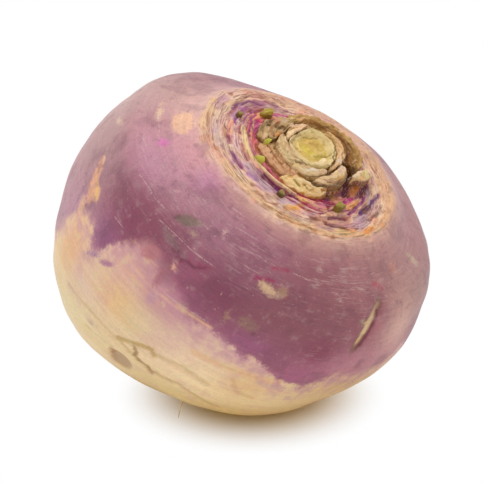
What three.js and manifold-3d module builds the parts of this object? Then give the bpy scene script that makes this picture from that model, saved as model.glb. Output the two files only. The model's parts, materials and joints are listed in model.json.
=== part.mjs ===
// A purple-topped turnip root, topped and trimmed, lying on its side as it settles on a table.
// Millimetres, +Z up. The root rests on z = 0 and its bounding box is centred on x = y = 0.
//
// The root is described from its own centre. Directions are a polar angle, measured from the
// middle of the leafy crown (0) to the tail (180), and a bearing around that crown-to-tail
// axis, both in degrees. Bearing 0 is the side that the crown leans towards.
import * as THREE from 'three';
import { mergeVertices } from 'three/addons/utils/BufferGeometryUtils.js';
import Module from 'manifold-3d';

const wasm = await Module();
wasm.setup();

// ---------------------------------------------------------------- driving dimensions

const CROWN_TILT = 34;        // degrees between the crown's axis and straight up
const CROWN_HEADING = -36;    // degrees from +X of the way that the crown leans
const REST_DEPTH = 35.6;      // from the root's centre down to the surface it rests on

// The root's side view: [polar angle, distance from the centre to the skin].
const PROFILE = [
  [0, 27.6], [20, 29.3], [32, 32.1], [41, 34.5], [50, 36.0], [60, 39.5], [72, 39.0],
  [85, 38.9], [100, 39.5], [115, 39.2], [130, 38.1], [145, 38.3], [160, 37.7], [180, 35.8],
];

// Where the root grew fuller or leaner: [polar angle, bearing, spread, height].
const SWELLS = [
  [84, 12, 20, 3.0], [105, -3, 20, -3.4], [138, -50, 20, -2.2], [140, -90, 20, -0.9],
  [129, -122, 20, 3.8], [111, -145, 20, -0.9], [91, -160, 20, 2.9], [72, -174, 18, 1.0],
  [57, 170, 15, 0.6], [52, 143, 15, -0.9], [54, 85, 15, 1.0],
];

// Rings left on the crown by fallen leaves: [distance from the axis, half-width, height].
const SCAR_RINGS = [
  [13.2, 0.9, 0.5],
  [22.2, 1.6, 0.6],
];

// The taproot, cut off short.
const TAIL_RISE = 5;
const TAIL_SPREAD = 5.5;      // degrees
const TAIL_CUT = 38.8;        // from the centre to the flat cut

// The stem's heart and the leaf bases around it stand on the crown.
const SEAT = 28.2;            // height of their undersides along the axis, just clear of the skin
const HEART_CENTRE = new THREE.Vector2(-0.5, 1.0);
const HEART_RADIUS = 5.8;
const HEART_TOP = 31.2;
const HEART_DISH = 1.1;       // how far the middle of the cut has sunk

const CLEARANCE = 0.35;       // between a bud or rootlet and the skin it grows from

// Mesh densities.
const BEARINGS = 56;
const CROWN_STEP = 2;         // degrees of polar angle per ring on the crown
const CROWN_EDGE = 46;        // polar angle where the crown gives way to the flank
const FLANK_STEP = 5.15;
const TAIL_EDGE = 164;
const TAIL_STEP = 2;

// ---------------------------------------------------------------- materials

function finish(color, roughness) {
  return new THREE.MeshStandardMaterial({ color, roughness, metalness: 0 });
}

const COLORS = {
  skin: 0xb08a96,
  heart: 0xd8c27c,
  freshBase: 0xdcc09a,
  witheredBase: 0x8a6238,
  corkyBase: 0xe0bd85,
  bud: 0xa8a22c,
  rootlet: 0xe6d6b8,
};

// ---------------------------------------------------------------- the root's surface

function direction(polar, bearing) {
  const p = THREE.MathUtils.degToRad(polar);
  const b = THREE.MathUtils.degToRad(bearing);
  return new THREE.Vector3(Math.sin(p) * Math.cos(b), Math.sin(p) * Math.sin(b), Math.cos(p));
}

// A smooth curve through the knots. The slope at each inner knot is the mean of the slopes on
// either side, weighted towards the shorter span, and the curve is level at both ends.
function smoothCurve(knots, x) {
  const slopes = knots.map((knot, i) => {
    if (i === 0 || i === knots.length - 1) return 0;
    const [before, after] = [knots[i - 1], knots[i + 1]];
    const spanBefore = knot[0] - before[0];
    const spanAfter = after[0] - knot[0];
    const rise = (knot[1] - before[1]) / spanBefore;
    const fall = (after[1] - knot[1]) / spanAfter;
    return (spanAfter * rise + spanBefore * fall) / (spanBefore + spanAfter);
  });
  let i = 0;
  while (i < knots.length - 2 && x > knots[i + 1][0]) i += 1;
  const span = knots[i + 1][0] - knots[i][0];
  const t = (x - knots[i][0]) / span;
  const start = (2 * t ** 3 - 3 * t ** 2 + 1) * knots[i][1];
  const startSlope = (t ** 3 - 2 * t ** 2 + t) * span * slopes[i];
  const end = (-2 * t ** 3 + 3 * t ** 2) * knots[i + 1][1];
  const endSlope = (t ** 3 - t ** 2) * span * slopes[i + 1];
  return start + startSlope + end + endSlope;
}

function bell(distance, spread) {
  return Math.exp(-0.5 * (distance / spread) ** 2);
}

// Distance from the centre to the skin in one direction.
function skinRadius(polar, bearing) {
  const way = direction(polar, bearing);
  let radius = smoothCurve(PROFILE, polar);
  for (const [swellPolar, swellBearing, spread, height] of SWELLS) {
    const apart = THREE.MathUtils.radToDeg(way.angleTo(direction(swellPolar, swellBearing)));
    radius += height * bell(apart, spread);
  }
  if (polar < 90) {
    const fromAxis = radius * Math.hypot(way.x, way.y);
    for (const [ring, halfWidth, height] of SCAR_RINGS) {
      radius += height * bell(fromAxis - ring, halfWidth);
    }
  }
  if (polar > 150) {
    radius += TAIL_RISE * bell(180 - polar, TAIL_SPREAD);
    radius = Math.min(radius, TAIL_CUT / -way.z);
  }
  return radius;
}

// The skin's height along the axis, at a place on the crown given in plan.
function crownHeight(fromAxis, bearing) {
  let polar = THREE.MathUtils.radToDeg(Math.atan2(fromAxis, SEAT));
  for (let pass = 0; pass < 12; pass += 1) {
    const reach = Math.min(1, fromAxis / skinRadius(polar, bearing));
    polar = (polar + THREE.MathUtils.radToDeg(Math.asin(reach))) / 2;
  }
  return skinRadius(polar, bearing) * Math.cos(THREE.MathUtils.degToRad(polar));
}

// ---------------------------------------------------------------- closed meshes

// Joins the vertices that share a place, and drops the flat triangles left at poles.
function closed(geometry) {
  geometry.deleteAttribute('normal');
  geometry.deleteAttribute('uv');
  const merged = mergeVertices(geometry, 1e-5);
  const kept = [];
  const index = merged.index.array;
  for (let i = 0; i < index.length; i += 3) {
    const [a, b, c] = [index[i], index[i + 1], index[i + 2]];
    if (a !== b && b !== c && c !== a) kept.push(a, b, c);
  }
  merged.setIndex(kept);
  return merged;
}

function toSolid(geometry) {
  return new wasm.Manifold(new wasm.Mesh({
    numProp: 3,
    vertProperties: new Float32Array(geometry.attributes.position.array),
    triVerts: new Uint32Array(geometry.index.array),
  }));
}

function fromSolid(solid) {
  const mesh = solid.getMesh();
  const geometry = new THREE.BufferGeometry();
  geometry.setAttribute('position', new THREE.BufferAttribute(mesh.vertProperties, 3));
  geometry.setIndex(new THREE.BufferAttribute(mesh.triVerts, 1));
  return geometry;
}

function named(name, geometry, material) {
  geometry.computeVertexNormals();
  const mesh = new THREE.Mesh(geometry, material);
  mesh.name = name;
  return mesh;
}

// Moves every vertex of a geometry to the place that a function gives for it.
function reshape(geometry, place) {
  const positions = geometry.attributes.position;
  const vertex = new THREE.Vector3();
  for (let i = 0; i < positions.count; i += 1) {
    vertex.fromBufferAttribute(positions, i);
    place(vertex);
    positions.setXYZ(i, vertex.x, vertex.y, vertex.z);
  }
  return geometry;
}

// ---------------------------------------------------------------- the root

// Polar angles of the mesh's rings, close together on the crown and at the tail.
function ringAngles() {
  const angles = [];
  for (let polar = 0; polar < CROWN_EDGE; polar += CROWN_STEP) angles.push(polar);
  for (let polar = CROWN_EDGE; polar < TAIL_EDGE; polar += FLANK_STEP) angles.push(polar);
  for (let polar = TAIL_EDGE; polar <= 180; polar += TAIL_STEP) angles.push(polar);
  return angles;
}

// A turned form with unit radius, every vertex of which is then pushed out to the skin.
function rootGeometry() {
  const outline = ringAngles().reverse().map((polar) => {
    const angle = THREE.MathUtils.degToRad(polar);
    const onAxis = polar === 0 || polar === 180;
    return new THREE.Vector2(onAxis ? 0 : Math.sin(angle), Math.cos(angle));
  });
  const turned = new THREE.LatheGeometry(outline, BEARINGS);
  turned.rotateX(Math.PI / 2);
  return reshape(closed(turned), (vertex) => {
    const polar = THREE.MathUtils.radToDeg(Math.acos(THREE.MathUtils.clamp(vertex.z, -1, 1)));
    const bearing = THREE.MathUtils.radToDeg(Math.atan2(vertex.y, vertex.x));
    vertex.normalize().multiplyScalar(skinRadius(polar, bearing));
  });
}

// The turn from the crown's own axes to the way the root lies.
const LIE = new THREE.Euler(
  0, THREE.MathUtils.degToRad(CROWN_TILT), THREE.MathUtils.degToRad(CROWN_HEADING), 'ZYX',
);

// The root lies tilted, and a small flat is pressed on it where it rests.
function root() {
  const geometry = rootGeometry();
  geometry.applyMatrix4(new THREE.Matrix4().makeRotationFromEuler(LIE));
  const below = new THREE.BoxGeometry(120, 120, 20);
  below.translate(0, 0, -REST_DEPTH - 10);
  const solid = toSolid(geometry).subtract(toSolid(closed(below)));
  return named('root', fromSolid(solid), finish(COLORS.skin, 0.5));
}

// ---------------------------------------------------------------- the heart and leaf bases

// The cut stem: a short drum with rounded edges and a dished top.
function heartStub() {
  const outline = [
    [0, SEAT],
    [HEART_RADIUS - 0.4, SEAT],
    [HEART_RADIUS, SEAT + 0.5],
    [HEART_RADIUS, HEART_TOP - 0.5],
    [HEART_RADIUS - 0.4, HEART_TOP],
    [HEART_RADIUS - 1.1, HEART_TOP],
    [HEART_RADIUS - 1.9, HEART_TOP - HEART_DISH],
    [0, HEART_TOP - HEART_DISH],
  ].map(([radius, height]) => new THREE.Vector2(radius, height));
  const turned = new THREE.LatheGeometry(outline, 32);
  turned.rotateX(Math.PI / 2);
  turned.translate(HEART_CENTRE.x, HEART_CENTRE.y, 0);
  return named('heart_stub', closed(turned), finish(COLORS.heart, 0.45));
}

// Each leaf base is a low wall that curves round the heart. Bearings are in degrees about the
// heart's centre, and lean is how far its top stands out past its foot.
const LEAF_BASES = [
  { name: 'leaf_base_inner_front', from: 196, to: 338, radius: 6.8, thick: 0.7, lean: 0.0, top: 30.2,
    color: 'freshBase' },
  { name: 'leaf_base_inner_right', from: 344, to: 438, radius: 6.9, thick: 0.8, lean: 0.7, top: 31.2,
    color: 'freshBase' },
  { name: 'leaf_base_inner_left', from: 84, to: 190, radius: 6.8, thick: 0.7, lean: 0.7, top: 30.8,
    color: 'freshBase' },
  { name: 'leaf_base_left', from: 158, to: 214, radius: 9.0, thick: 1.3, lean: 0.8, top: 29.8,
    color: 'witheredBase' },
  { name: 'leaf_base_front', from: 236, to: 290, radius: 8.4, thick: 1.0, lean: 0.0, top: 29.3,
    color: 'witheredBase' },
  { name: 'leaf_base_right', from: 334, to: 388, radius: 8.4, thick: 0.9, lean: -0.2, top: 29.9,
    color: 'freshBase' },
  { name: 'leaf_base_crest', from: 286, to: 332, radius: 10.0, thick: 1.3, lean: 0.3, top: 29.4,
    color: 'corkyBase' },
  { name: 'leaf_base_outer_back', from: 46, to: 150, radius: 10.4, thick: 0.9, lean: 2.0, top: 31.4,
    color: 'witheredBase' },
  { name: 'leaf_base_outer_right', from: 12, to: 40, radius: 12.0, thick: 1.2, lean: 0.3, top: 29.9,
    color: 'corkyBase' },
];

const LEAF_STEPS = 10;
const END_ROUNDING = 0.85;    // how much of the height and thickness the two ends lose

function leafBase({ name, from, to, radius, thick, lean, top, color }) {
  const geometry = reshape(new THREE.BoxGeometry(1, 1, 1, LEAF_STEPS, 1, 3), (vertex) => {
    const along = vertex.x + 0.5;
    const outward = -vertex.y;
    const up = vertex.z + 0.5;
    const fullness = Math.sqrt(1 - END_ROUNDING * (2 * along - 1) ** 4);
    const bearing = THREE.MathUtils.degToRad(THREE.MathUtils.lerp(from, to, along));
    const thickness = thick * fullness * (1 - 0.45 * up);
    const reach = radius + lean * up + outward * thickness;
    vertex.x = HEART_CENTRE.x + reach * Math.cos(bearing);
    vertex.y = HEART_CENTRE.y + reach * Math.sin(bearing);
    vertex.z = SEAT + (top - SEAT) * fullness * up;
  });
  return named(name, closed(geometry), finish(COLORS[color], 0.7));
}

// ---------------------------------------------------------------- buds

// Side buds that have begun to grow in the leaf scars: place on the crown in plan, length along
// the ring, width across it, and height.
const BUDS = [
  { name: 'bud_1', x: -14.2, y: 2.4, length: 3.4, width: 1.9, height: 1.7 },
  { name: 'bud_2', x: -6.2, y: -5.9, length: 1.3, width: 1.1, height: 2.0 },
  { name: 'bud_3', x: -4.0, y: -11.5, length: 1.9, width: 1.5, height: 1.5 },
  { name: 'bud_4', x: -15.8, y: -4.7, length: 1.2, width: 1.0, height: 0.9 },
  { name: 'bud_5', x: 4.3, y: -14.8, length: 1.2, width: 1.1, height: 1.0 },
  { name: 'bud_6', x: 12.9, y: -3.2, length: 2.3, width: 1.6, height: 1.5 },
];

function bud({ name, x, y, length, width, height }) {
  const bearing = Math.atan2(y, x);
  const ground = crownHeight(Math.hypot(x, y), THREE.MathUtils.radToDeg(bearing));
  const geometry = new THREE.SphereGeometry(0.5, 10, 7);
  geometry.rotateX(Math.PI / 2);
  geometry.scale(width, length, height);
  geometry.rotateZ(bearing);
  geometry.translate(x, y, ground + CLEARANCE + height / 2);
  return named(name, closed(geometry), finish(COLORS.bud, 0.5));
}

// ---------------------------------------------------------------- the rootlet

// One fine dry rootlet that hangs from the flank towards the table.
const ROOTLET_POLAR = 119.5;
const ROOTLET_BEARING = -59;
const ROOTLET_WIDTH = 0.4;
const ROOTLET_DROP = 3;
const ROOTLET_STEPS = 8;

function rootlet() {
  const way = direction(ROOTLET_POLAR, ROOTLET_BEARING);
  const start = way.multiplyScalar(skinRadius(ROOTLET_POLAR, ROOTLET_BEARING)).applyEuler(LIE);
  const outward = start.clone().normalize();
  const knots = [0, 0.3, 0.65, 1].map((along) => {
    const knot = start.clone().addScaledVector(outward, CLEARANCE + ROOTLET_WIDTH / 2 + along);
    knot.x += 0.6 * Math.sin(Math.PI * along);
    knot.z -= ROOTLET_DROP * along ** 2;
    return knot;
  });
  const section = new THREE.Shape();
  section.absarc(0, 0, ROOTLET_WIDTH / 2, 0, 2 * Math.PI);
  const geometry = new THREE.ExtrudeGeometry(section, {
    curveSegments: 4,
    steps: ROOTLET_STEPS,
    extrudePath: new THREE.CatmullRomCurve3(knots),
  });
  return named('rootlet', closed(geometry), finish(COLORS.rootlet, 0.7));
}

// ---------------------------------------------------------------- assembly

const crown = new THREE.Group();
crown.rotation.copy(LIE);
crown.add(heartStub());
crown.add(...LEAF_BASES.map(leafBase));
crown.add(...BUDS.map(bud));

const turnip = new THREE.Group();
turnip.add(root(), crown, rootlet());

const extent = new THREE.Box3().setFromObject(turnip);
const middle = extent.getCenter(new THREE.Vector3());
turnip.position.set(-middle.x, -middle.y, REST_DEPTH);
turnip.updateMatrixWorld(true);

export default turnip;
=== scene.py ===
"""A purple-topped turnip with its leaves cut off at the crown, lying on a pale floor.

Shapes are worked out in millimetres about the middle of the root, with +z running out through the crown.
"Polar" is the angle from that axis and "bearing" the angle round it, both in degrees. Each finished surface
is then leaned over and moved into the shared frame, in metres.
"""

import json
import math

import bpy
import numpy as np
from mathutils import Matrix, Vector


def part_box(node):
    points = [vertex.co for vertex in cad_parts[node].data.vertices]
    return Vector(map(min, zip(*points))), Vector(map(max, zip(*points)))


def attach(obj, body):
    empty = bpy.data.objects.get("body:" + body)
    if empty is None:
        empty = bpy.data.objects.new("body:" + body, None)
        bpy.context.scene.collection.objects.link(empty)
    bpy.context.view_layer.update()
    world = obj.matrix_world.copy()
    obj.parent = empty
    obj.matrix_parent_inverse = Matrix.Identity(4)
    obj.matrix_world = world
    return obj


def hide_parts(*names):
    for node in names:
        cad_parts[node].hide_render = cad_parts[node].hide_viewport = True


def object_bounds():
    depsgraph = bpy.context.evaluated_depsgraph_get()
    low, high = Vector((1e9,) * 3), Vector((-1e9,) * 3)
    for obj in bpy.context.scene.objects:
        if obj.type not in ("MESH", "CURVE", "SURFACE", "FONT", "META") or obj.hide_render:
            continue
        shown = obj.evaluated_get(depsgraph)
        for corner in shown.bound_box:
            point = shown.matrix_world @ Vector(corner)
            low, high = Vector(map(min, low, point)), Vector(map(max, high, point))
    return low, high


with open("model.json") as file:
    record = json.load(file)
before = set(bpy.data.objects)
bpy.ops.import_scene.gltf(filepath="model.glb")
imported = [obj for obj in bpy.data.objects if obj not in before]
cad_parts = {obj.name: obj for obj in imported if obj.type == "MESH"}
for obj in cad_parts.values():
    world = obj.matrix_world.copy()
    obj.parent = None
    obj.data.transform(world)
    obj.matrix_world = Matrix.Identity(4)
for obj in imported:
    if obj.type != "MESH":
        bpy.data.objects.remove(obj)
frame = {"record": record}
cad_low, cad_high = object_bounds()

# ------------------------------------------------------------ form of the root, in mm and degrees

MM = 0.001                # metres in a millimetre
CROWN_TILT = 34.0         # between the crown's axis and straight up
CROWN_HEADING = -36.0     # from +x, the way that the crown leans
REST_DEPTH = 35.6         # from the root's middle down to the floor
# The root's side view: polar, radius.
PROFILE = [
    (0, 27.6), (20, 29.3), (32, 32.1), (41, 34.5), (50, 36.0), (60, 39.5), (72, 39.0),
    (85, 38.9), (100, 39.5), (115, 39.2), (130, 38.1), (145, 38.3), (160, 37.7), (180, 35.8),
]
# Swells and hollows: polar, bearing, spread, height.
SWELLS = [
    (84, 12, 20, 3.0), (105, -3, 20, -3.4), (138, -50, 20, -2.2), (140, -90, 20, -0.9),
    (129, -122, 20, 3.8), (111, -145, 20, -0.9), (91, -160, 20, 2.9), (72, -174, 18, 1.0),
    (57, 170, 15, 0.6), (52, 143, 15, -0.9), (54, 85, 15, 1.0),
]
# Raised leaf-scar rings: distance from the axis, half width, height.
SCAR_RINGS = [(13.2, 0.9, 0.5), (22.2, 1.6, 0.6)]
TAIL_START = 150.0        # polar angle where the taproot begins to rise
TAIL_RISE = 5.0
TAIL_SPREAD = 5.5
TAIL_CUT = 38.8           # from the middle to the flat cut
SKIN_INSET = 0.1          # room left under the smooth root for the relief of the skin
CROWN_END = 60.0          # polar angle past which nothing belongs to the crown
BALL_RADIUS = 39.0        # of the ball that marks and scratches are measured on
ARC_PER_DEGREE = 0.68     # mm of skin in one degree
HEART_CENTRE = np.array([-0.5, 1.0])
FAR = 1e9                 # further than anything
# Fineness of the meshes: how many points each piece has each way.
ROOT_ROUND = 500
HEART_ACROSS, HEART_ROUND, HEART_DOWN = 62, 220, 19
BASE_ALONG, BASE_ACROSS, BASE_DOWN = 190, 46, 8
BUD_UP, BUD_ROUND = 36, 56
ROOTLET_ALONG, ROOTLET_ROUND = 40, 14


# ------------------------------------------------------------ small sums shared by every piece

def bell(value, spread):
    """The bell curve: 1 in the middle, 0.61 at one spread."""
    return np.exp(-0.5 * (value / spread) ** 2)


def ease(value, low, high):
    """0 below low, 1 above high, and the smooth cubic step between."""
    part = np.clip((value - low) / (high - low), 0.0, 1.0)
    return part * part * (3.0 - 2.0 * part)


def turned(angle):
    """The same angle brought between -180 and 180."""
    return (angle + 180.0) % 360.0 - 180.0


def outward(polar, bearing):
    """The unit direction at a polar angle and bearing."""
    p, b = np.broadcast_arrays(np.radians(polar), np.radians(bearing))
    return np.stack([np.sin(p) * np.cos(b), np.sin(p) * np.sin(b), np.cos(p)], -1)


def smooth_curve(knots, at):
    """Cubic Hermite through the knots, each slope the weighted mean of its two spans, level at both ends."""
    x, y = np.array(knots, float).T
    span = np.diff(x)
    rise = np.diff(y) / span
    slope = np.zeros(len(x))
    slope[1:-1] = (span[1:] * rise[:-1] + span[:-1] * rise[1:]) / (span[1:] + span[:-1])
    i = np.clip(np.searchsorted(x, at, side="right") - 1, 0, len(x) - 2)
    t = np.clip((at - x[i]) / span[i], 0.0, 1.0)
    return (
        (2 * t**3 - 3 * t**2 + 1) * y[i]
        + (t**3 - 2 * t**2 + t) * span[i] * slope[i]
        + (3 * t**2 - 2 * t**3) * y[i + 1]
        + (t**3 - t**2) * span[i] * slope[i + 1]
    )


def lumps(points, size, seed, waves=24):
    """Gentle random hills, about -1 to 1: plane waves near the given length, summed in seeded directions."""
    dice = np.random.default_rng(seed)
    total = np.zeros(points.shape[:-1])
    for _ in range(waves):
        way = dice.normal(size=points.shape[-1])
        way *= 2 * math.pi / (np.linalg.norm(way) * size * dice.uniform(0.7, 1.6))
        total += np.sin(points @ way + dice.uniform(0, 2 * math.pi))
    return total / math.sqrt(waves)


def paint(code):
    """A colour written as six hex digits, as linear red, green and blue."""
    c = np.array([int(code[i : i + 2], 16) for i in (0, 2, 4)]) / 255.0
    return np.where(c <= 0.04045, c / 12.92, ((c + 0.055) / 1.055) ** 2.4)


def plain_coat(shape, code):
    """One colour for every point."""
    return np.zeros(shape) + paint(code)


def laid_over(tone, cover, code):
    """Colours with another laid over them: old times (1 - cover) plus new times cover."""
    cover = np.clip(cover, 0.0, 1.0)[..., None]
    return tone * (1.0 - cover) + paint(code) * cover


def richer(tone, times):
    """Colours drawn away from grey: their mean, plus so many times their difference from it."""
    mean = tone.mean(-1, keepdims=True)
    return np.clip(mean + (tone - mean) * times, 0.0, 1.0)


def opaque(tone):
    """Colours with a fourth channel of 1."""
    return np.concatenate([tone, np.ones(tone.shape[:-1] + (1,))], -1)


def skin_radius(polar, bearing):
    """Radius of the smooth root: the profile, a bell for each swell, the two scar rings and the cut tail."""
    way = outward(polar, bearing)
    radius = smooth_curve(PROFILE, np.broadcast_to(polar, way.shape[:-1]).ravel()).reshape(way.shape[:-1])
    for at, heading, spread, height in SWELLS:
        apart = np.degrees(np.arccos(np.clip(way @ outward(at, heading), -1.0, 1.0)))
        radius = radius + height * bell(apart, spread)
    for distance, half_width, height in SCAR_RINGS:
        from_axis = radius * np.sin(np.radians(polar))
        radius = radius + np.where(polar < 90, height * bell(from_axis - distance, half_width), 0.0)
    tail = np.minimum(
        radius + TAIL_RISE * bell(180.0 - polar, TAIL_SPREAD),
        TAIL_CUT / np.maximum(-np.cos(np.radians(polar)), 0.1),
    )
    return np.where(polar > TAIL_START, tail, radius)


def turn_matrix():
    """Lean about y by the crown's tilt, then turn about z to its heading."""
    t, h = math.radians(CROWN_TILT), math.radians(CROWN_HEADING)
    lean = np.array([[math.cos(t), 0, math.sin(t)], [0, 1, 0], [-math.sin(t), 0, math.cos(t)]])
    head = np.array([[math.cos(h), -math.sin(h), 0], [math.sin(h), math.cos(h), 0], [0, 0, 1]])
    return head @ lean


TURN = turn_matrix()


def root_middle():
    """Middle of the root in the shared frame: the smooth root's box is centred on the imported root's box."""
    p, b = np.meshgrid(np.arange(0, 181, 1.0), np.arange(0, 360, 2.0), indexing="ij")
    leaned = (outward(p, b) * skin_radius(p, b)[..., None]) @ TURN.T
    own = (leaned.reshape(-1, 3).max(0) + leaned.reshape(-1, 3).min(0)) / 2
    low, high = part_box("root")
    packed = (np.array(low) + np.array(high)) / 2 / MM
    return np.array([packed[0] - own[0], packed[1] - own[1], low[2] / MM + REST_DEPTH])


MIDDLE = root_middle()


def placed(points):
    """Points leaned over and moved to the root's place, in metres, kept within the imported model's box."""
    row = (points @ TURN.T + MIDDLE) * MM
    return np.clip(row, np.array(cad_low), np.array(cad_high))


def grown(row_points):
    """The way back: metres in the shared frame to millimetres about the root's middle."""
    return (np.asarray(row_points) / MM - MIDDLE) @ TURN


def surface(name, rings, fields):
    """A closed mesh from a grid of points: rings wrap round and join, and the ends close on their middles.

    Each field is one number, vector or colour for each grid point, kept on the mesh under its name.
    """
    n, m = rings.shape[:2]
    here = np.arange(n * m).reshape(n, m)
    right = np.roll(here, -1, axis=1)
    quads = np.stack([here[:-1], right[:-1], right[1:], here[1:]], -1).reshape(-1, 4)
    start = np.stack([np.full(m, n * m), right[0], here[0]], -1)
    finish = np.stack([np.full(m, n * m + 1), here[-1], right[-1]], -1)
    points = np.vstack([rings.reshape(-1, 3), rings[0].mean(0), rings[-1].mean(0)])
    a, b, c = (points[quads[:, k]] - points.mean(0) for k in (0, 1, 2))
    if np.einsum("ij,ij->", a, np.cross(b, c)) < 0:
        quads, start, finish = quads[:, ::-1], start[:, ::-1], finish[:, ::-1]
    mesh = bpy.data.meshes.new(name)
    mesh.from_pydata(placed(points).tolist(), [], quads.tolist() + start.tolist() + finish.tolist())
    mesh.polygons.foreach_set("use_smooth", np.ones(len(mesh.polygons), bool))
    kinds = {1: ("FLOAT", "value"), 3: ("FLOAT_VECTOR", "vector"), 4: ("FLOAT_COLOR", "color")}
    for label, value in fields.items():
        value = value.reshape(n, m, -1)
        whole = np.vstack([value.reshape(n * m, -1), value[0].mean(0), value[-1].mean(0)])
        kind, slot = kinds[whole.shape[1]]
        mesh.attributes.new(label, kind, "POINT").data.foreach_set(slot, whole.astype(np.float32).ravel())
    mesh.update()
    piece = bpy.data.objects.new(name, mesh)
    bpy.context.scene.collection.objects.link(piece)
    return piece


SLOT_OF = {row["node"]: row["material_slot"] for row in frame["record"]["subparts"]}


def kept(piece, finish, node):
    """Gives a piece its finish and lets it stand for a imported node, riding on the root."""
    piece.data.materials.append(finish)
    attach(piece, "root")
    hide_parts(node)


# ------------------------------------------------------------ materials

class Wire:
    """One number in a material. Sums written on it add Math nodes."""

    def __init__(self, finish, socket):
        self.finish, self.socket = finish, socket

    def joined(self, operation, first, second):
        return self.finish.node("ShaderNodeMath", {"operation": operation}, {0: first, 1: second})

    def __add__(self, other):
        return self.joined("ADD", self, other)

    def __radd__(self, other):
        return self.joined("ADD", other, self)

    def __sub__(self, other):
        return self.joined("SUBTRACT", self, other)

    def __rsub__(self, other):
        return self.joined("SUBTRACT", other, self)

    def __mul__(self, other):
        return self.joined("MULTIPLY", self, other)

    def __rmul__(self, other):
        return self.joined("MULTIPLY", other, self)


class Finish:
    """A material, or the light of the world, being put together from nodes."""

    def __init__(self, owner):
        self.owner = owner
        owner.use_nodes = True
        self.tree = owner.node_tree
        self.tree.nodes.clear()

    def node(self, kind, settings=None, sockets=None, out=0):
        """Adds a node: its settings first, then the values or wires of its sockets. Gives back one output."""
        made = self.tree.nodes.new(kind)
        for key, value in (settings or {}).items():
            setattr(made, key, value)
        for key, value in (sockets or {}).items():
            if isinstance(value, Wire):
                self.tree.links.new(value.socket, made.inputs[key])
            else:
                made.inputs[key].default_value = value
        return Wire(self, made.outputs[out]) if made.outputs else None

    def field(self, name, out="Fac"):
        """A number, vector or colour kept on the mesh."""
        return self.node("ShaderNodeAttribute", {"attribute_name": name}, out=out)

    def noise(self, where, scale, detail=3.0, rough=0.5, stretch=None):
        """Cloudy noise, 0 to 1, on coordinates that may be stretched first."""
        if stretch:
            where = self.node("ShaderNodeVectorMath", {"operation": "MULTIPLY"}, {0: where, 1: stretch})
        sockets = {"Vector": where, "Scale": scale, "Detail": detail, "Roughness": rough}
        return self.node("ShaderNodeTexNoise", {}, sockets)

    def cells(self, where, scale):
        """Distance to the nearest of many scattered points."""
        return self.node("ShaderNodeTexVoronoi", {"feature": "F1"}, {"Vector": where, "Scale": scale})

    def between(self, value, low, high):
        """The smooth step from 0 at low to 1 at high."""
        sockets = {"Value": value, "From Min": low, "From Max": high}
        return self.node("ShaderNodeMapRange", {"interpolation_type": "SMOOTHSTEP"}, sockets)

    def blend(self, factor, first, second, way="MIX"):
        """Two colours mixed by a factor."""
        first, second = ((*paint(c), 1.0) if isinstance(c, str) else c for c in (first, second))
        settings = {"data_type": "RGBA", "blend_type": way}
        return self.node("ShaderNodeMix", settings, {0: factor, 6: first, 7: second}, out=2)

    def layered(self, colour, *layers):
        """A colour with others laid over it in turn, each given as how much it covers and its own colour."""
        for cover, code in layers:
            colour = self.blend(cover, colour, code)
        return colour

    def shaded(self, colour, factor):
        """A colour made lighter or darker by a number about 1."""
        grey = self.node("ShaderNodeCombineColor", {}, {0: factor, 1: factor, 2: factor})
        return self.blend(1.0, colour, grey, "MULTIPLY")

    def bump(self, height, distance, strength):
        """Surface relief from a height of 0 to 1 that stands for so many metres."""
        sockets = {"Height": height, "Distance": distance, "Strength": strength}
        return self.node("ShaderNodeBump", {}, sockets)

    def done(self, colour, roughness, normal):
        """Closes the material with its one surface shader."""
        sockets = {"Base Color": colour, "Roughness": roughness, "Normal": normal}
        shader = self.node("ShaderNodeBsdfPrincipled", {}, sockets)
        self.node("ShaderNodeOutputMaterial", {}, {"Surface": shader})
        return self.owner


def swing(cloud, amount):
    """A cloud of 0 to 1 moved to swing about nothing, half the amount each way."""
    return (cloud - 0.5) * amount


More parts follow.
